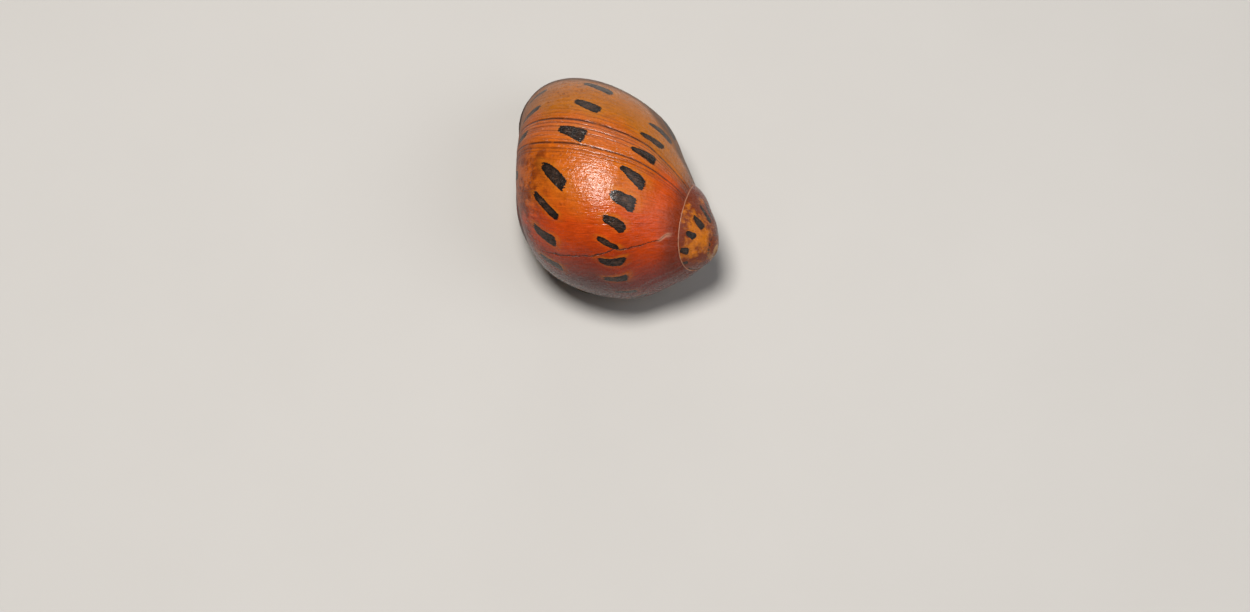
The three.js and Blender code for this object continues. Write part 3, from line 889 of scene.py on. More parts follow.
def dashShare(paint, name, ragged, strokes):
    # 1 inside a row's dashes, the distance from a dash's middle as a share of its size, and the side
    passed, along, pace = paint.split(paint.attribute(name, "Color"))
    slant = paint.attribute(name, "Alpha")
    halfLength, halfWidth, bend = paint.split(paint.attribute(name + "Form", "Vector"))
    across = (passed - passed.maths("ROUND")) * pace + slant * along - bend * along * along
    end = along / halfLength
    width = halfWidth * (1.0 + end.maths("MINIMUM", 1.0).maths("MAXIMUM", -1.0) * 0.22)
    # a superellipse, with strokes that run past its ends
    sideways, endways = abs(across) / width, abs(end) + strokes * 0.6
    edge = (sideways ** 3.6 + endways ** 4.4) ** 0.25 + ragged
    return paint.fade(0.98, 1.02, edge), edge, across / halfWidth


def shellFields(paint):
    # the places and noises that the shell's colours and relief are worked out from
    place = paint.place()
    growthLine = paint.attribute("growthLine")
    line = growthLine + (paint.noise(place, 260.0, 2.0) - 0.5) * 0.03
    t = paint.attribute("acrossWhorl")
    return {
        "place": place,
        "growthLine": growthLine,
        "line": line,
        "t": t,
        "broad": paint.noise(place, 180.0, 2.0),
        "medium": paint.noise(place, 900.0, 3.0, 0.6),
        "mottle": paint.noise(place, 1700.0, 4.0, 0.65),
        "striae": paint.noise(paint.join(line * 8.0, t * 0.6), 6.0, 5.0, 0.66),
        "fine": paint.noise(paint.join(line * 62.0, t * 1.6), 5.0, 3.0, 0.6),
    }


def wholeGround(paint, field, margin):
    # ochre where the shell is newest, then orange, and deep red on the old part, that red partly the
    # shell's own colour and partly painted shade
    tone, line, t, medium = shellColours, field["line"], field["t"], field["medium"]
    stops = [(place, tone[name]) for place, name in groundStops.items()]
    along = (line + 3.6) / 4.6 + (field["broad"] - 0.5) * 0.2
    ground = paint.node("ShaderNodeValToRGB", {"stops": stops}, {0: along})
    bySuture = paint.ease(0.35, 1.0, t) * paint.fade(-0.7, -0.3, line) * paint.ease(-2.7, -1.6, line)
    ground = paint.tint(bySuture * 0.85, ground, tone["redOrange"])
    # painted shade: a dark mottle in the corner by the suture
    sutureCornerShade = paint.ease(0.92, 1.2, t + (medium - 0.5) * 0.2)
    ground = paint.tint(sutureCornerShade * 0.75, ground, tone["mottle"])
    # the dark olive margin, partly painted shade
    ground = paint.tint(margin * 0.85, ground, tone["margin"])
    # a dark mottled patch on the flank, and painted shade that darkens the flank towards the base
    patch = paint.fade(-1.15, -0.75, t) * paint.fade(-0.75, -0.6, line) * paint.ease(0.38, 0.6, medium)
    ground = paint.tint(patch * 0.75, ground, tone["mottle"])
    ground = paint.multiply(ground, 1.0 - 0.55 * paint.fade(-1.75, -0.9, t))
    # painted shade on the old lower part of the last whorl, away from the suture
    lowerSideShade = paint.fade(-2.2, -1.6, line) * paint.fade(-0.2, 0.6, t) * paint.ease(-4.0, -3.2, line)
    ground = paint.multiply(ground, 1.0 - 0.45 * lowerSideShade)
    # the spire is brown with yellow clouds
    clouded = paint.fade(0.1, 0.8, abs(t - 1.05)) * paint.fade(0.3, 1.1, abs(line + 7.6))
    cloud = paint.ease(0.44, 0.7, paint.noise(field["place"], 1000.0, 4.0, 0.7) + clouded * 0.2 - 0.06)
    early = paint.fade(-6.6, -5.5, line)
    ground = paint.tint(early, ground, paint.tint(cloud, tone["spireBrown"], tone["spireYellow"]))
    # fine lines along the growth lines
    shade = 0.34 * paint.ease(0.32, 0.66, field["striae"]) + 0.24 * paint.ease(0.35, 0.65, field["fine"])
    return paint.multiply(ground, 0.56 + shade + 0.22 * field["mottle"])


def restLines(paint, field):
    # dark lines at the growth rests, broken here and there, and finer ones between and after them
    line, t = field["line"], field["t"]
    rests = None
    for at, width, strength in growthRests:
        close = paint.fade(0.3, 1.7, abs(line - at) / width) * strength
        rests = close if rests is None else rests.maths("MAXIMUM", close)
    broken = paint.ease(0.3, 0.5, paint.noise(paint.join(line * 3.0, t * 2.5), 3.0, 2.0))
    crowded = paint.ease(-0.8, -0.66, line) * paint.fade(-0.4, -0.28, line)
    crowded = crowded + paint.ease(0.1, 0.35, line) * 0.6
    streaks = paint.ease(0.52, 0.66, paint.noise(paint.join(line * 30.0, t * 0.7), 1.6, 4.0, 0.7))
    return (rests * (0.5 + 0.5 * broken)).maths("MAXIMUM", streaks * crowded * 0.5)


def dashMarks(paint, field):
    # the dashes, a fringe round them that is stronger on the side of newer growth, and their hearts
    ragged = (paint.noise(field["place"], 4200.0, 3.0, 0.6) - 0.5) * shellFinish["ragged"]
    ragged = ragged + (paint.noise(field["place"], 1500.0, 2.0) - 0.5) * shellFinish["ragged"]
    strokes = paint.noise(paint.join(field["growthLine"] * 75.0, 0.0), 1.0, 2.0) - 0.5
    marks = None
    for row in dashRows:
        inside, edge, across = dashShare(paint, row, ragged, strokes)
        glow = paint.fade(1.0, 1.9, edge) * (0.5 + 0.5 * paint.ease(-0.6, 0.9, across))
        new = (inside, glow, paint.fade(0.45, 0.95, edge))
        marks = new if marks is None else [old.maths("MAXIMUM", more) for old, more in zip(marks, new)]
    return marks


def shellPaint(name, wornTip=False):
    # the whole ground, then layer on layer from the pits to the callus, and the relief
    paint = Paint(name)
    tone, field = shellColours, shellFields(paint)
    place, line, t = field["place"], field["line"], field["t"]
    medium, mottle = field["medium"], field["mottle"]
    callus = paint.attribute("callus")
    # the newest growth is a dark olive margin, broader by the suture, partly the shell's own colour and
    # partly painted shade
    marginAt = 0.25 - 0.28 * paint.ease(-0.3, 0.45, t)
    margin = paint.ease(0.0, 0.16, line - marginAt + (field["broad"] - 0.5) * 0.1)
    ground = wholeGround(paint, field, margin)
    # pits in the weathered part
    pits = paint.cells(place, 2600.0)
    pitted = paint.ease(0.46, 0.62, field["broad"] * 0.5 + medium * 0.5) * paint.fade(-0.9, -0.2, t)
    ground = paint.tint(pitted * paint.fade(0.2, 0.45, pits) * 0.6, ground, tone["mottle"])
    # a paler band between the two main rests
    pale = paint.ease(-0.64, -0.5, line) * paint.fade(-0.44, -0.38, line) * paint.fade(0.6, 1.0, t)
    ground = paint.tint(pale * 0.35, ground, tone["pink"])
    rests = restLines(paint, field)
    dark, halo, heart = dashMarks(paint, field)
    halo = halo * (0.35 + 0.65 * paint.ease(-3.4, -2.2, line))
    halo = halo * (paint.ease(0.35, 0.65, medium) * 0.8 + 0.2)
    ground = paint.tint(halo * shellFinish["fringe"], ground, tone["halo"])
    ground = paint.tint(rests, ground, tone["rest"])
    # the crack, with a pale scar at its end by the suture
    crackAway = abs(paint.attribute("crack") + (paint.noise(place, 1800.0, 3.0) - 0.5) * 0.5)
    crack = paint.fade(0.02, 0.09, crackAway) * paint.ease(-1.1, -0.8, t) * paint.fade(1.1, 1.18, t)
    ground = paint.tint(crack * shellFinish["crack"], ground, tone["rest"])
    scar = paint.fade(0.15, 0.5, crackAway) * paint.ease(0.98, 1.06, t) * paint.fade(1.12, 1.2, t)
    ground = paint.tint(scar * 0.5, ground, tone["scar"])
    streak = paint.ease(0.42, 0.68, field["fine"] * 0.6 + mottle * 0.4) * heart
    ground = paint.tint(dark, ground, paint.tint(streak, tone["dash"], tone["dashStreak"]))
    ground = paint.tint(callus, ground, tone["callus"])
    if wornTip:
        bare = paint.fade(0.08, 0.16, paint.attribute("whorlSize") + (medium - 0.5) * 0.12)
        ground = paint.tint(bare * shellFinish["wornTip"], ground, tone["worn"])
    # relief: threads along the growth lines, a fine hammered grain, pits, and the rests' grooves
    grain = paint.noise(place, 3300.0, 1.5, 0.6)
    threads = paint.noise(paint.join(line * 14.0, t * 0.9), 6.0, 1.5, 0.5)
    height = threads * 0.5 + mottle * 0.3 + grain * 0.6 + medium * 0.5 - rests * 0.7 - crack * 1.2
    height = height + paint.ease(0.0, 0.5, pits) * pitted * 0.35
    rough = shellFinish["gloss"] + 0.22 * mottle + 0.3 * paint.fade(-1.7, -1.1, t)
    rough = rough + 0.2 * margin + callus * 0.05
    normal = paint.bump(height, shellFinish["relief"], shellFinish["reliefDepth"])
    return paint.finish(Base_Color=ground, Roughness=rough, Normal=normal, IOR=shellFinish["ior"],
                        Specular_IOR_Level=shellFinish["specular"])


# Paints of two colours and one roughness
plainPaints = {
    "threadPaint": {"first": (0.26, 0.08, 0.03), "second": (0.50, 0.27, 0.17), "cloud": 900.0,
                    "roughness": 0.4, "relief": 0.2},
    "deckPaint": {"first": (0.62, 0.4, 0.14), "second": (0.72, 0.52, 0.24), "cloud": 500.0,
                  "roughness": 0.3, "relief": 0.25},
    "floorPaint": {"first": (0.47, 0.455, 0.435), "second": (0.5, 0.485, 0.465), "cloud": 40.0,
                   "roughness": 0.75, "relief": 0.1},
}


def plainPaint(name):
    # two colours in soft clouds, over a slight relief
    values = plainPaints[name]
    paint = Paint(name)
    place = paint.place()
    cloud = paint.noise(place, values["cloud"], 4.0, 0.6)
    normal = paint.bump(paint.noise(place, values["cloud"] * 4, 3.0), values["relief"], 0.00005)
    return paint.finish(Base_Color=paint.tint(cloud, values["first"], values["second"]),
                        Roughness=values["roughness"], Normal=normal)


# The deck and the operculum

plates = {
    "deckDepth": 8.3,
    "deckHalf": 7.5,
    "deckProud": 0.2,
    "teeth": 7,
    "toothRow": 0.55,  # of the deck's half width
    "toothHeight": 0.1,
    "toothReach": 0.16,
    "toothWidth": 0.24,
    "toothLength": 0.34,
    "ripple": 0.012,
    "moonMiddle": 0.42,  # of a half-moon's depth
    "operculumHalf": 4.4,
    "operculumLength": 5.0,
    "operculumThick": 0.5,
    "operculumAt": (-0.9, -0.7),
    "operculumBelow": 0.4,
    "operculumDome": 0.28,
    "operculumRidge": 0.014,
    "startBehind": 0.75,  # of its pale start
}


def moonOutline(angle, half, depth):
    # a half ellipse behind a straight edge, as distances from a point behind the edge's middle
    turn = np.linspace(0, math.pi, 400)
    arc = np.stack([half * np.cos(turn), -depth * np.sin(turn)], -1)
    edge = np.stack([np.linspace(-half, half, 300)[1:-1], np.zeros(298)], -1)
    return polar(np.concatenate([arc, edge]), np.array([0, -depth * plates["moonMiddle"]]), angle)


def moonPlate(half, depth, rows, columns):
    # polar grid over a half-moon: middle + direction * reach * share, and the share of each row
    angle = np.linspace(-math.pi, math.pi, columns, endpoint=False)
    reach = moonOutline(angle, half, depth)
    share = np.sin(np.linspace(0.004, 1, rows) * math.pi / 2)[:, None]
    x = np.cos(angle) * reach * share
    y = np.sin(angle) * reach * share - depth * plates["moonMiddle"]
    return x, y, share + 0 * x


def buildDeck():
    # a low swell with a round edge, and a bump for each tooth along the straight side
    x, y, share = moonPlate(plates["deckHalf"], plates["deckDepth"], 60, 360)
    swell = 1 - share ** 10
    height = 0.03 - plates["deckProud"] * np.sqrt(np.maximum(swell, 0))
    ripple = np.sin(x * 2.3 + 1.5 * np.sin(y * 1.1)) * np.sin(y * 2.9)
    height = height + plates["ripple"] * ripple * swell
    tooth = np.zeros_like(x)
    for place in np.linspace(-plates["toothRow"], plates["toothRow"], plates["teeth"]) * plates["deckHalf"]:
        onRow = np.exp(-((y + 0.15) / plates["toothLength"]) ** 2)
        tooth += np.exp(-((x - place) / plates["toothWidth"]) ** 2) * onRow
    height = height - plates["toothHeight"] * tooth
    y = y + plates["toothReach"] * tooth * smooth(0.8, 1.0, share)
    turn = bodyShell["deckTurn"]
    flatX = bodyShell["deckMiddle"] + origin[0] - baseAt[0] + x * math.cos(turn) - y * math.sin(turn)
    flatY = bodyShell["deckEdge"] - coil["baseFront"] + x * math.sin(turn) + y * math.cos(turn)
    under = np.stack([flatX, flatY, height], -1)
    above = np.stack([flatX, flatY, 0.45 + 0.12 * share], -1)[::-4]
    return closedGrid("columellar_deck", fromBase(np.concatenate([under, above])))


def buildOperculum():
    # a domed plate, with a pale spiral start by one corner and growth lines round it
    x, y, share = moonPlate(plates["operculumHalf"], plates["operculumLength"], 56, 300)
    dome = plates["operculumDome"] * (1 - share ** 2)
    nucleus = np.array([plates["operculumHalf"] * 0.5, -plates["startBehind"]])
    away = np.hypot(x - nucleus[0], (y - nucleus[1]) * 1.15)
    curl = np.arctan2(y - nucleus[1], x - nucleus[0])
    ridges = plates["operculumRidge"] * np.sin(away * 9.0 + 0.8 * curl) * smooth(1.0, 0.9, share)
    half = plates["operculumThick"] / 2
    edge = np.sqrt(np.maximum(1 - share ** 14, 0))
    lower = -half * edge - dome - ridges
    upper = half * edge - dome * 0.6
    slope = math.tan(coil["basePitch"])
    place = np.array(plates["operculumAt"]) + origin[:2]
    level = coil["baseHeight"] - (coil["baseFront"] - plates["operculumAt"][1]) * slope
    level = level - plates["operculumBelow"] - half - plates["deckProud"]
    under, above = [np.stack([place[0] + x, place[1] + y, level + y * slope + part], -1)
                    for part in (lower, upper)]
    growth = np.concatenate([away, away[::-4]])
    return closedGrid("operculum_plate", np.concatenate([under, above[::-4]]), {"away": growth})


# The flesh

flesh = {
    "voxel": 0.09,
    "smoothing": 14,
    "footBack": -8.2,
    "footFront": 9.0,
    "footMiddle": -0.9,
    "footHalf": 5.25,
    "footCrown": 1.15,
    "footRim": 0.5,
    "columnBottom": (-0.9, 3.6, 0.7, 4.35, 3.6),  # middle, and half its width and length
    "columnTop": (-1.0, 5.1, 4.2, 4.7, 3.3),
    "head": (-1.2, 8.2, 1.95, 2.5, 2.3, 1.15),  # middle and radii
    "snout": (-1.2, 10.1, 1.3, 1.75, 1.75, 0.95),
    "mouthTilt": 0.5,
    "lipRadius": 0.58,
    "lipSize": 0.2,
    "lipSink": 0.16,
    "slitDepth": 0.4,
    "slitWidth": 0.11,
    "slitLength": (0.62, 0.35),  # ends, and where it is full
    "folds": 14,
    "foldDepth": 0.011,
    "ringDepth": 0.009,
    "tentacleRoot": (1.5, 8.5, 2.1),
    "tentacleBow": {-1: (4.2, 11.0, 2.2), 1: (3.9, 10.7, 2.2)},
    "tentacleTip": {-1: (6.6, 9.4, 1.3), 1: (6.2, 8.3, 1.3)},
    "tentacleRadii": (0.44, 0.12),
    "stalkRoot": (1.6, 7.9, 2.2),
    "stalkTip": (2.95, 8.0, 2.45),
    "stalkRadii": (0.58, 0.42),
    "eyeRadius": 0.23,
    "mantleRecess": 0.3,
    "collarRoll": 0.42,
    "collarWidth": 0.75,
    "collarGroove": 0.55,
    "columnWaist": 0.07,
    "footSquare": (0.75, 0.62),  # powers that square the foot's section sideways and upwards
}


def ballGrid(middle, radii, rows=40, columns=64):
    # middle + radii * (cos(rise) cos(turn), cos(rise) sin(turn), sin(rise))
    rise = np.linspace(math.pi / 2 - 0.03, -math.pi / 2 + 0.03, rows)[:, None]
    turn = turns(columns)[None, :]
    ball = np.stack([np.cos(rise) * np.cos(turn), np.cos(rise) * np.sin(turn), np.sin(rise) + 0 * turn], -1)
    return np.array(middle) + ball * np.array(radii)


def bowed(start, bow, end, share):
    # a quadratic curve between two points, pulled towards a third
    share = share[..., None]
    return (1 - share) ** 2 * start + 2 * share * (1 - share) * bow + share ** 2 * end


def headPoint(side, place):
    # a place given for the right side of the head, on either side
    return np.array([flesh["head"][0] + side * place[0], place[1], place[2]])


def limbGrid(start, bow, end, radii):
    # a tube along a curve that narrows to its far end, which is round
    share = np.linspace(0, 1, 90)
    past = np.clip((share - 0.93) / 0.07, 0, 1)
    radius = (radii[0] + (radii[1] - radii[0]) * share ** 0.8) * np.sqrt(np.maximum(1 - past ** 2, 0.03))
    return tubeAlong(bowed(start, bow, end, share), radius, 28, [0, 0, 1])


def footEdge(y):
    # half the foot's width at y: an oval, broader in front, with a faint wave
    share = np.clip((y - flesh["footBack"]) / (flesh["footFront"] - flesh["footBack"]), 0, 1)
    half = np.sin(np.arccos(1 - 2 * share)) ** 0.8 * (1 - 0.1 * (1 - 2 * share))
    return flesh["footHalf"] * half * (1 + 0.012 * np.sin(y * 2.1) + 0.006 * np.sin(y * 5.3 + 1))


def footGrid():
    # sections across the foot, as wide as its edge: a low crown over a shallow curve below the floor
    along = np.linspace(0.012, 0.988, 150)[:, None]
    turn = turns(120)[None, :]
    y = flesh["footBack"] + (flesh["footFront"] - flesh["footBack"]) * (1 - np.cos(math.pi * along)) / 2
    rise, out = np.sin(turn), np.cos(turn)
    sideways, upwards = flesh["footSquare"]
    x = flesh["footMiddle"] + footEdge(y) * np.sign(out) * np.abs(out) ** sideways
    crown = flesh["footRim"] + (flesh["footCrown"] - flesh["footRim"]) * np.sin(math.pi * along) ** 0.6
    z = np.where(rise > 0, crown * np.maximum(rise, 0) ** upwards, 0.28 * rise)
    return np.stack([x, y + 0 * x, z], -1)


def columnGrid():
    # ellipses from the foot up into the shell, with a slight waist
    share = np.linspace(0, 1, 50)[:, None]
    form = np.array(flesh["columnBottom"]) * (1 - share) + np.array(flesh["columnTop"]) * share
    turn = turns(120)[None, :]
    waist = 1 - flesh["columnWaist"] * np.sin(share * math.pi)
    x = form[:, 0:1] + form[:, 3:4] * waist * np.cos(turn)
    y = form[:, 1:2] + form[:, 4:5] * waist * np.sin(turn)
    return np.stack([x, y, form[:, 2:3] + 0 * x], -1)


def mantleGrid(rim):
    # a rolled collar just inside the lip, with a groove behind it, and a plug up into the mouth
    angle = np.linspace(-math.pi, math.pi, 260, endpoint=False)[None, :]
    centre = np.array(bodyShell["mouthMiddle"])
    edge = mouthOutline(angle[0], rim)[None, :]
    inward = np.concatenate([np.linspace(3.2, 0.0, 46), np.zeros(26)])[:, None]
    up = np.concatenate([np.zeros(46), np.linspace(0, 1, 26)])[:, None]
    across = (inward - flesh["collarRoll"]) / flesh["collarWidth"]
    roll = flesh["collarRoll"] * smooth(1.6, 0.7, inward) * np.sqrt(np.clip(1 - across ** 2, 0, 1))
    groove = flesh["collarGroove"] - 0.3 * smooth(1.4, 3.0, inward)
    height = flesh["mantleRecess"] + groove - roll
    height = height + (bodyShell["mouthDepth"] - 0.4 - height) * up
    reach = (edge - inward) * (1 - 0.095 * np.clip(height / bodyShell["mouthDepth"], 0, 1) / 0.6) + 0.04
    reach = np.maximum(reach, 0.2)
    flat = centre[:, None, None] + np.stack([np.cos(angle) * reach, np.sin(angle) * reach])
    return fromBase(np.stack([flat[0], flat[1], height + 0 * reach], -1)) - origin


def remeshed(grids, voxel):
    # one closed surface round all the closed grids, by a voxel remesh: arrays of points and quads
    points, faces, first = [], [], 0
    for grid in grids:
        own = withPoles(grid)
        for part in facedOut(own, closedFaces(*grid.shape[:2])):
            faces += (part + first).tolist()
        points.append(own)
        first += len(own)
    mesh = bpy.data.meshes.new("fleshForms")
    mesh.from_pydata(np.concatenate(points), [], faces)
    forms = addObject("fleshForms", mesh)
    modifier = forms.modifiers.new("join", "REMESH")
    modifier.mode = "VOXEL"
    modifier.voxel_size = voxel
    joined = forms.evaluated_get(bpy.context.evaluated_depsgraph_get()).to_mesh()
    places = np.empty(len(joined.vertices) * 3, np.float32)
    joined.vertices.foreach_get("co", places)
    corners = np.empty(len(joined.loops), np.int32)
    joined.loops.foreach_get("vertex_index", corners)
    bpy.data.objects.remove(forms)
    bpy.data.meshes.remove(mesh)
    print("joined the flesh:", len(grids), "forms,", len(corners) // 4, "quads")
    return places.reshape(-1, 3).astype(float), corners.reshape(-1, 4)


def neighbourMean(points, faces):
    # mean of the points that share an edge with each point
    beside = np.roll(faces, -1, 1)
    first = np.concatenate([faces.ravel(), beside.ravel()])
    second = np.concatenate([beside.ravel(), faces.ravel()])
    count = np.bincount(first, minlength=len(points))[:, None]
    total = np.stack([np.bincount(first, points[second, k], len(points)) for k in range(3)], -1)
    return total / count


def relaxed(points, faces, steps):
    # smoothing that keeps the volume: a step in and a slightly longer one out
    for step in range(steps * 2):
        share = 0.55 if step % 2 == 0 else -0.565
        points = points + share * (neighbourMean(points, faces) - points)
    return points


def pointNormals(points, faces):
    # the crossed diagonals of the quads round each point, added up and given length 1
    corners = points[faces]
    cross = np.cross(corners[:, 2] - corners[:, 0], corners[:, 3] - corners[:, 1])
    own = faces.ravel()
    total = np.stack([np.bincount(own, np.repeat(cross[:, k], 4), len(points)) for k in range(3)], -1)
    return total / np.maximum(np.linalg.norm(total, axis=1, keepdims=True), 1e-12)


def nearestOn(path, points):
    # for each point: distance to a path, and the place along it from 0 to 1
    best = np.full(len(points), 99.0)
    place = np.zeros(len(points))
    for k, at in enumerate(path):
        away = np.linalg.norm(points - at, axis=1)
        closer = away < best
        best[closer] = away[closer]
        place[closer] = k / (len(path) - 1)
    return best, place


def mouthFrame():
    # the mouth's middle on the snout, and the way the snout's surface faces there
    tilt = flesh["mouthTilt"]
    snout = np.array(flesh["snout"])
    out = snout[3:] * np.array([0, math.cos(tilt), -math.sin(tilt)])
    forward = out / snout[3:] ** 2
    return snout[:3] + out, unit(forward)


def lipsGrid():
    # small balls side by side on an oval round the slit, sunk back at its sides
    at, forward = mouthFrame()
    across = np.array([1.0, 0, 0])
    upward = np.cross(across, forward)
    turn = turns(60)[:, None]
    reach = flesh["lipRadius"]
    sink = flesh["lipSink"] + 0.14 * np.cos(turn) ** 2
    ring = at + reach * (np.cos(turn) * across + 1.1 * np.sin(turn) * upward) - sink * forward
    return [ballGrid(place, [flesh["lipSize"]] * 3, 10, 14) for place in ring[::2]]


def fleshGrids(rim):
    # the closed forms of the flesh, and the tentacles' paths
    grids = [footGrid(), columnGrid(), mantleGrid(rim)]
    grids += [ballGrid(flesh[part][:3], flesh[part][3:]) for part in ("head", "snout")]
    paths = []
    for side in (-1, 1):
        root, tip = headPoint(side, flesh["tentacleRoot"]), headPoint(side, flesh["tentacleTip"][side])
        bow = headPoint(side, flesh["tentacleBow"][side])
        inside = root + (root - bow) * 0.25
        grids.append(limbGrid(inside, bow, tip, flesh["tentacleRadii"]))
        paths.append(bowed(inside, bow, tip, np.linspace(0, 1, 60)))
        stalk, eye = headPoint(side, flesh["stalkRoot"]), headPoint(side, flesh["stalkTip"])
        grids.append(limbGrid(stalk, (stalk + eye) / 2, eye, flesh["stalkRadii"]))
    return grids + lipsGrid(), paths


def mouthShaped(points, faces):
    # the slit pushed in between the lips, folds that fan out from it, and rings round the snout
    at, forward = mouthFrame()
    away = points - at
    x, high, ahead = away[:, 0], away @ np.cross([1.0, 0, 0], forward), away @ forward
    slit = np.exp(-(x / flesh["slitWidth"]) ** 2) * smooth(*flesh["slitLength"], np.abs(high))
    slit = slit * smooth(-0.6, -0.3, ahead)
    spread = np.hypot(high, x)
    onLips = smooth(0.2, 0.45, spread) * smooth(1.15, 0.7, spread) * smooth(-0.9, -0.4, ahead)
    folds = flesh["foldDepth"] * np.sin(np.arctan2(high, x) * flesh["folds"]) * onLips
    behind = np.linalg.norm(away, axis=1)
    onSnout = smooth(0.9, 1.3, behind) * smooth(3.4, 2.2, behind) * (points[:, 2] > 0.5)
    rings = flesh["ringDepth"] * np.sin(behind * 13) * onSnout
    moved = points - forward * (flesh["slitDepth"] * slit)[:, None]
    moved = moved + pointNormals(points, faces) * (folds + rings)[:, None]
    return relaxed(moved, faces, 1), slit


def fleshValues(points, faces, paths, slit):
    # shares from 0 to 1 that say where the flesh's colours lie
    tentacle, along = np.zeros(len(points)), np.zeros(len(points))
    for path in paths:
        distance, place = nearestOn(path, points)
        mask = smooth(0.75, 0.5, distance) * smooth(0.12, 0.3, place)
        tentacle = np.maximum(tentacle, mask)
        along = np.where(mask > 0, place, along)
    height = points[:, 2]
    return {
        "onTentacle": tentacle,
        "alongTentacle": along,
        "margin": footEdge(points[:, 1]) - np.abs(points[:, 0] - flesh["footMiddle"]),
        "onFoot": smooth(1.5, 0.9, height),
        "sole": smooth(-0.6, -0.9, pointNormals(points, faces)[:, 2]) * smooth(0.25, 0.05, height),
        # the flesh inside the shell, above the underside, where painted shade goes
        "collar": smooth(0.0, 0.25, toBase(points + origin)[:, 2]),
        "onHead": smooth(6.4, 7.6, points[:, 1]) * smooth(0.7, 1.1, height),
        "slit": slit,
    }


def buildFlesh(rim):
    # closed forms that overlap, joined into one skin, smoothed, and laid flat on the floor
    grids, paths = fleshGrids(rim)
    points, faces = remeshed(grids, flesh["voxel"])
    points = relaxed(points, faces, flesh["smoothing"])
    points, slit = mouthShaped(points, faces)
    points[:, 2] = np.maximum(points[:, 2], 0) * smooth(0, 0.06, points[:, 2])
    return makePiece("flesh_skin", points + origin, [faces], fleshValues(points, faces, paths, slit))


def buildEye(side):
    # a small ball round the stalk's tip
    middle = headPoint(side, flesh["stalkTip"]) + origin
    name = "eyeball_left" if side < 0 else "eyeball_right"
    return closedGrid(name, ballGrid(middle, [flesh["eyeRadius"]] * 3, 28, 40))


# Flesh colours (scene linear)
fleshColours = {
    "ochre": (0.34, 0.21, 0.055),
    "olive": (0.16, 0.115, 0.035),
    "dark": (0.022, 0.018, 0.013),
    "sole": (0.52, 0.42, 0.2),
    # painted shade of the flesh inside the shell
    "collar": (0.05, 0.042, 0.028),
    "pale": (0.48, 0.36, 0.14),
}


def fleshPaint():
    # clouds of ochre and olive under dark stripes, flecks and rings
    paint = Paint("fleshPaint")
    place = paint.place()
    tone = fleshColours
    margin = paint.attribute("margin")
    onFoot = paint.attribute("onFoot")
    along = paint.attribute("alongTentacle")
    onTentacle = paint.attribute("onTentacle")
    onHead = paint.attribute("onHead")
    cloud = paint.noise(place, 420.0, 4.0, 0.6)
    fine = paint.noise(place, 2600.0, 3.0, 0.6)
    colour = paint.tint(paint.ease(0.35, 0.65, cloud), tone["ochre"], tone["olive"])
    # dark stripes that run with the foot's edge, broken by flecks
    wave = (paint.noise(place, 330.0, 3.0) - 0.5) * 0.9
    stripes = ((margin + wave) * 11.0).maths("SINE")
    stripes = paint.ease(0.15, 0.75, stripes + (fine - 0.5) * 1.2) * onFoot
    colour = paint.tint(stripes * 0.75, colour, tone["dark"])
    flecks = paint.fade(0.3, 0.42, paint.cells(place, 2100.0)) * paint.ease(0.42, 0.55, cloud)
    colour = paint.tint(flecks * 0.55, colour, tone["dark"])
    x, y, z = paint.split(place)
    bands = paint.noise(paint.join(x * 2600.0, y * 500.0, z * 900.0), 1.0, 3.0, 0.6)
    headDark = paint.ease(0.42, 0.62, bands) * onHead
    colour = paint.tint(headDark * 0.8, colour, tone["dark"])
    rings = paint.ease(0.1, 0.8, (along * 150.0 + (fine - 0.5) * 2.0).maths("SINE"))
    tentacle = paint.tint(rings * 0.35 + 0.45, tone["pale"], tone["dark"])
    colour = paint.tint(onTentacle, colour, tentacle)
    # painted shade: the flesh inside the shell made dark
    colour = paint.tint(paint.attribute("collar") * 0.8, colour, tone["collar"])
    colour = paint.tint(paint.attribute("sole"), colour, tone["sole"])
    # painted shade in the mouth's slit
    colour = paint.tint(paint.attribute("slit") * 0.85, colour, tone["dark"])
    wrinkles = paint.noise(paint.join(x, y * 0.5, z), 1500.0, 4.0, 0.6, 0.6)
    goose = paint.cells(place, 3800.0)
    height = wrinkles * 0.7 + goose * 0.35 + rings * onTentacle * 0.25
    normal = paint.bump(height, 0.45, 0.0001)
    return paint.finish(Base_Color=colour, Roughness=0.3 + 0.15 * fine, Normal=normal, Coat_Weight=0.35,
                        Coat_Roughness=0.2)


operculumColours = {
    "start": (0.42, 0.17, 0.07),
    "plate": (0.055, 0.03, 0.02),
    "line": (0.03, 0.015, 0.01),
}


def operculumPaint():
    # a pale start, and growth lines round it
    paint = Paint("operculumPaint")
    tone = operculumColours
    away = paint.attribute("away")
    cloud = paint.noise(paint.place(), 700.0, 4.0, 0.6)
    lines = (away * 9.0 + (cloud - 0.5) * 2.0).maths("SINE")
    colour = paint.tint(paint.ease(1.0, 4.5, away), tone["start"], tone["plate"])
    colour = paint.tint(paint.ease(0.2, 0.9, lines) * 0.4, colour, tone["line"])
    fine = paint.noise(paint.join(away * 40.0, cloud * 2.0), 1.0, 3.0)
    normal = paint.bump(lines * 0.4 + fine * 0.6, 0.4, 0.00005)
    return paint.finish(Base_Color=colour, Roughness=0.35, Normal=normal)


def eyePaint():
    # black and wet
    paint = Paint("eyePaint")
    return paint.finish(Base_Color=(0.004, 0.004, 0.005), Roughness=0.08, Coat_Weight=1.0)


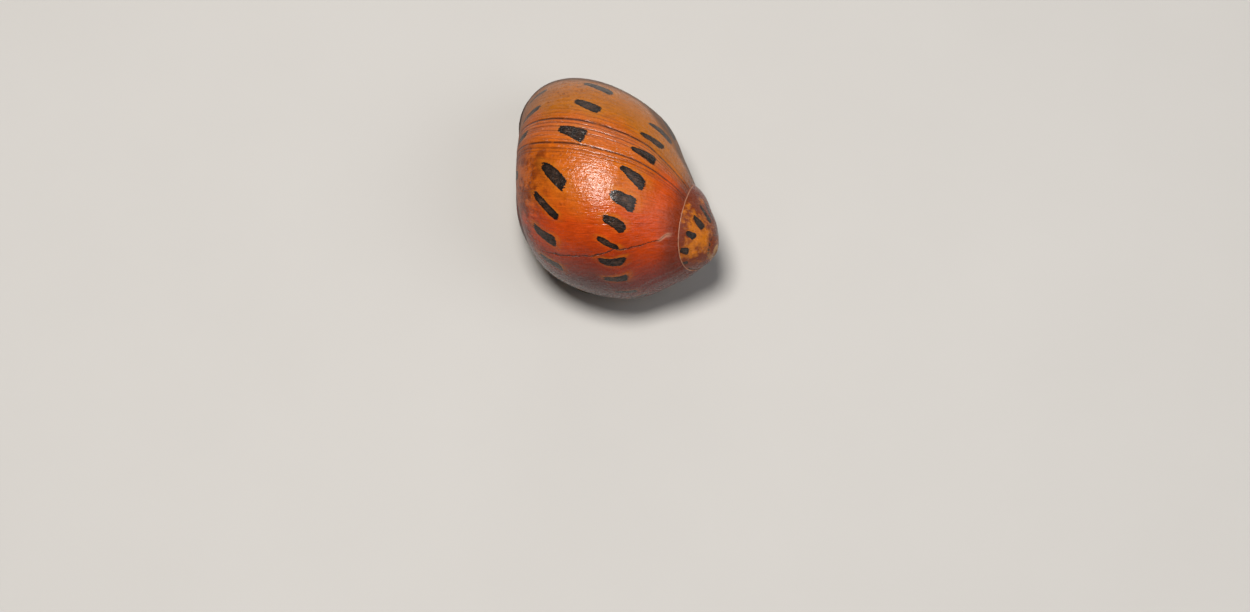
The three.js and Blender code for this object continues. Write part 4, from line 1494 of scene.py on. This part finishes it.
# Stage, light and camera
lights = {
    "keyLight": {"place": (-0.04, -0.012, 0.38), "size": 0.12, "power": 1.7, "colour": (1, 0.97, 0.93)},
    "sideLight": {"place": (0.35, -0.1, 0.4), "size": 0.4, "power": 0.7, "colour": (0.96, 0.98, 1)},
    "frontLight": {"place": (0.0, 0.5, 0.25), "size": 0.3, "power": 0.22, "colour": (1, 0.98, 0.95)},
}
sky = {"colour": (0.9, 0.93, 1, 1), "strength": 0.09}
floorHalf = 1.5  # metres
view = {
    "elevation": math.radians(68.8),
    "lens": 200.0,
    "nearest": 0.01,  # metres
    "sensor": 36.0,
    "width": 112.5,  # what the picture's width shows, at the shell's mid height
    "midHeight": 6.0,
    "right": 1.5785,  # the picture's middle in the coil's own frame, to the right and up the picture
    "up": -8.752,
}


def buildCamera():
    # looks down at the picture's middle, from where the lens shows the picture's width
    data = bpy.data.cameras.new("camera")
    data.lens = view["lens"]
    data.sensor_width = view["sensor"]
    data.clip_start = view["nearest"]
    camera = addObject("camera", data)
    slope, level = math.sin(view["elevation"]), math.cos(view["elevation"])
    distance = view["width"] * view["lens"] / view["sensor"]
    forward = (view["up"] - view["midHeight"] * level) / slope
    target = Vector((view["right"] + origin[0], forward + origin[1], view["midHeight"]))
    back = Vector((0, -level, slope))
    camera.location = (target + back * distance) * mm
    aim(camera, -back)
    bpy.context.scene.camera = camera


def buildFloor():
    # a wide square at height 0
    half = floorHalf
    mesh = bpy.data.meshes.new("floor")
    corners = [(-half, -half, 0), (half, -half, 0), (half, half, 0), (-half, half, 0)]
    mesh.from_pydata(corners, [], [(0, 1, 2, 3)])
    floor = addObject("floor", mesh)
    floor.data.materials.append(plainPaint("floorPaint"))


def buildLights():
    # round area lights that face the snail, and a faint even sky
    for name, values in lights.items():
        data = bpy.data.lights.new(name, "AREA")
        data.shape = "DISK"
        data.size = values["size"]
        data.energy = values["power"]
        data.color = values["colour"]
        light = addObject(name, data)
        light.location = values["place"]
        aim(light, Vector((0, 0, view["midHeight"] * mm)) - light.location)
    world = bpy.data.worlds.new("world")
    world.use_nodes = True
    background = world.node_tree.nodes["Background"]
    background.inputs["Color"].default_value = sky["colour"]
    background.inputs["Strength"].default_value = sky["strength"]
    bpy.context.scene.world = world
    bpy.context.scene.view_settings.view_transform = "Standard"
    print("floor, lights and camera are set")


buildCamera()
buildFloor()
buildLights()

bodyPiece, rimOutline = buildBody()
wear(bodyPiece, shellPaint("shellBodyPaint"), "shell", "shell_body_whorl")
spirePiece, apexPiece = buildSpire()
wear(spirePiece, shellPaint("shellSpirePaint"), "shell", "shell_spire")
wear(apexPiece, shellPaint("shellApexPaint", wornTip=True), "worn_apex", "shell_apex")
wear(buildThread(), plainPaint("threadPaint"), "callus")
wear(buildDeck(), plainPaint("deckPaint"), "callus", "shell_columellar_deck")
wear(buildOperculum(), operculumPaint(), "operculum", "operculum")

fleshNodes = ["foot_tail", "foot_middle", "foot_front", "body_column", "mantle", "head", "snout"]
for side in ("left", "right"):
    fleshNodes += ["tentacle_" + side + "_base", "tentacle_" + side + "_tip", "eyestalk_" + side]
wear(buildFlesh(rimOutline), fleshPaint(), "flesh", *fleshNodes)
for side, name in ((-1, "left"), (1, "right")):
    wear(buildEye(side), eyePaint(), "eye", "eye_" + name)
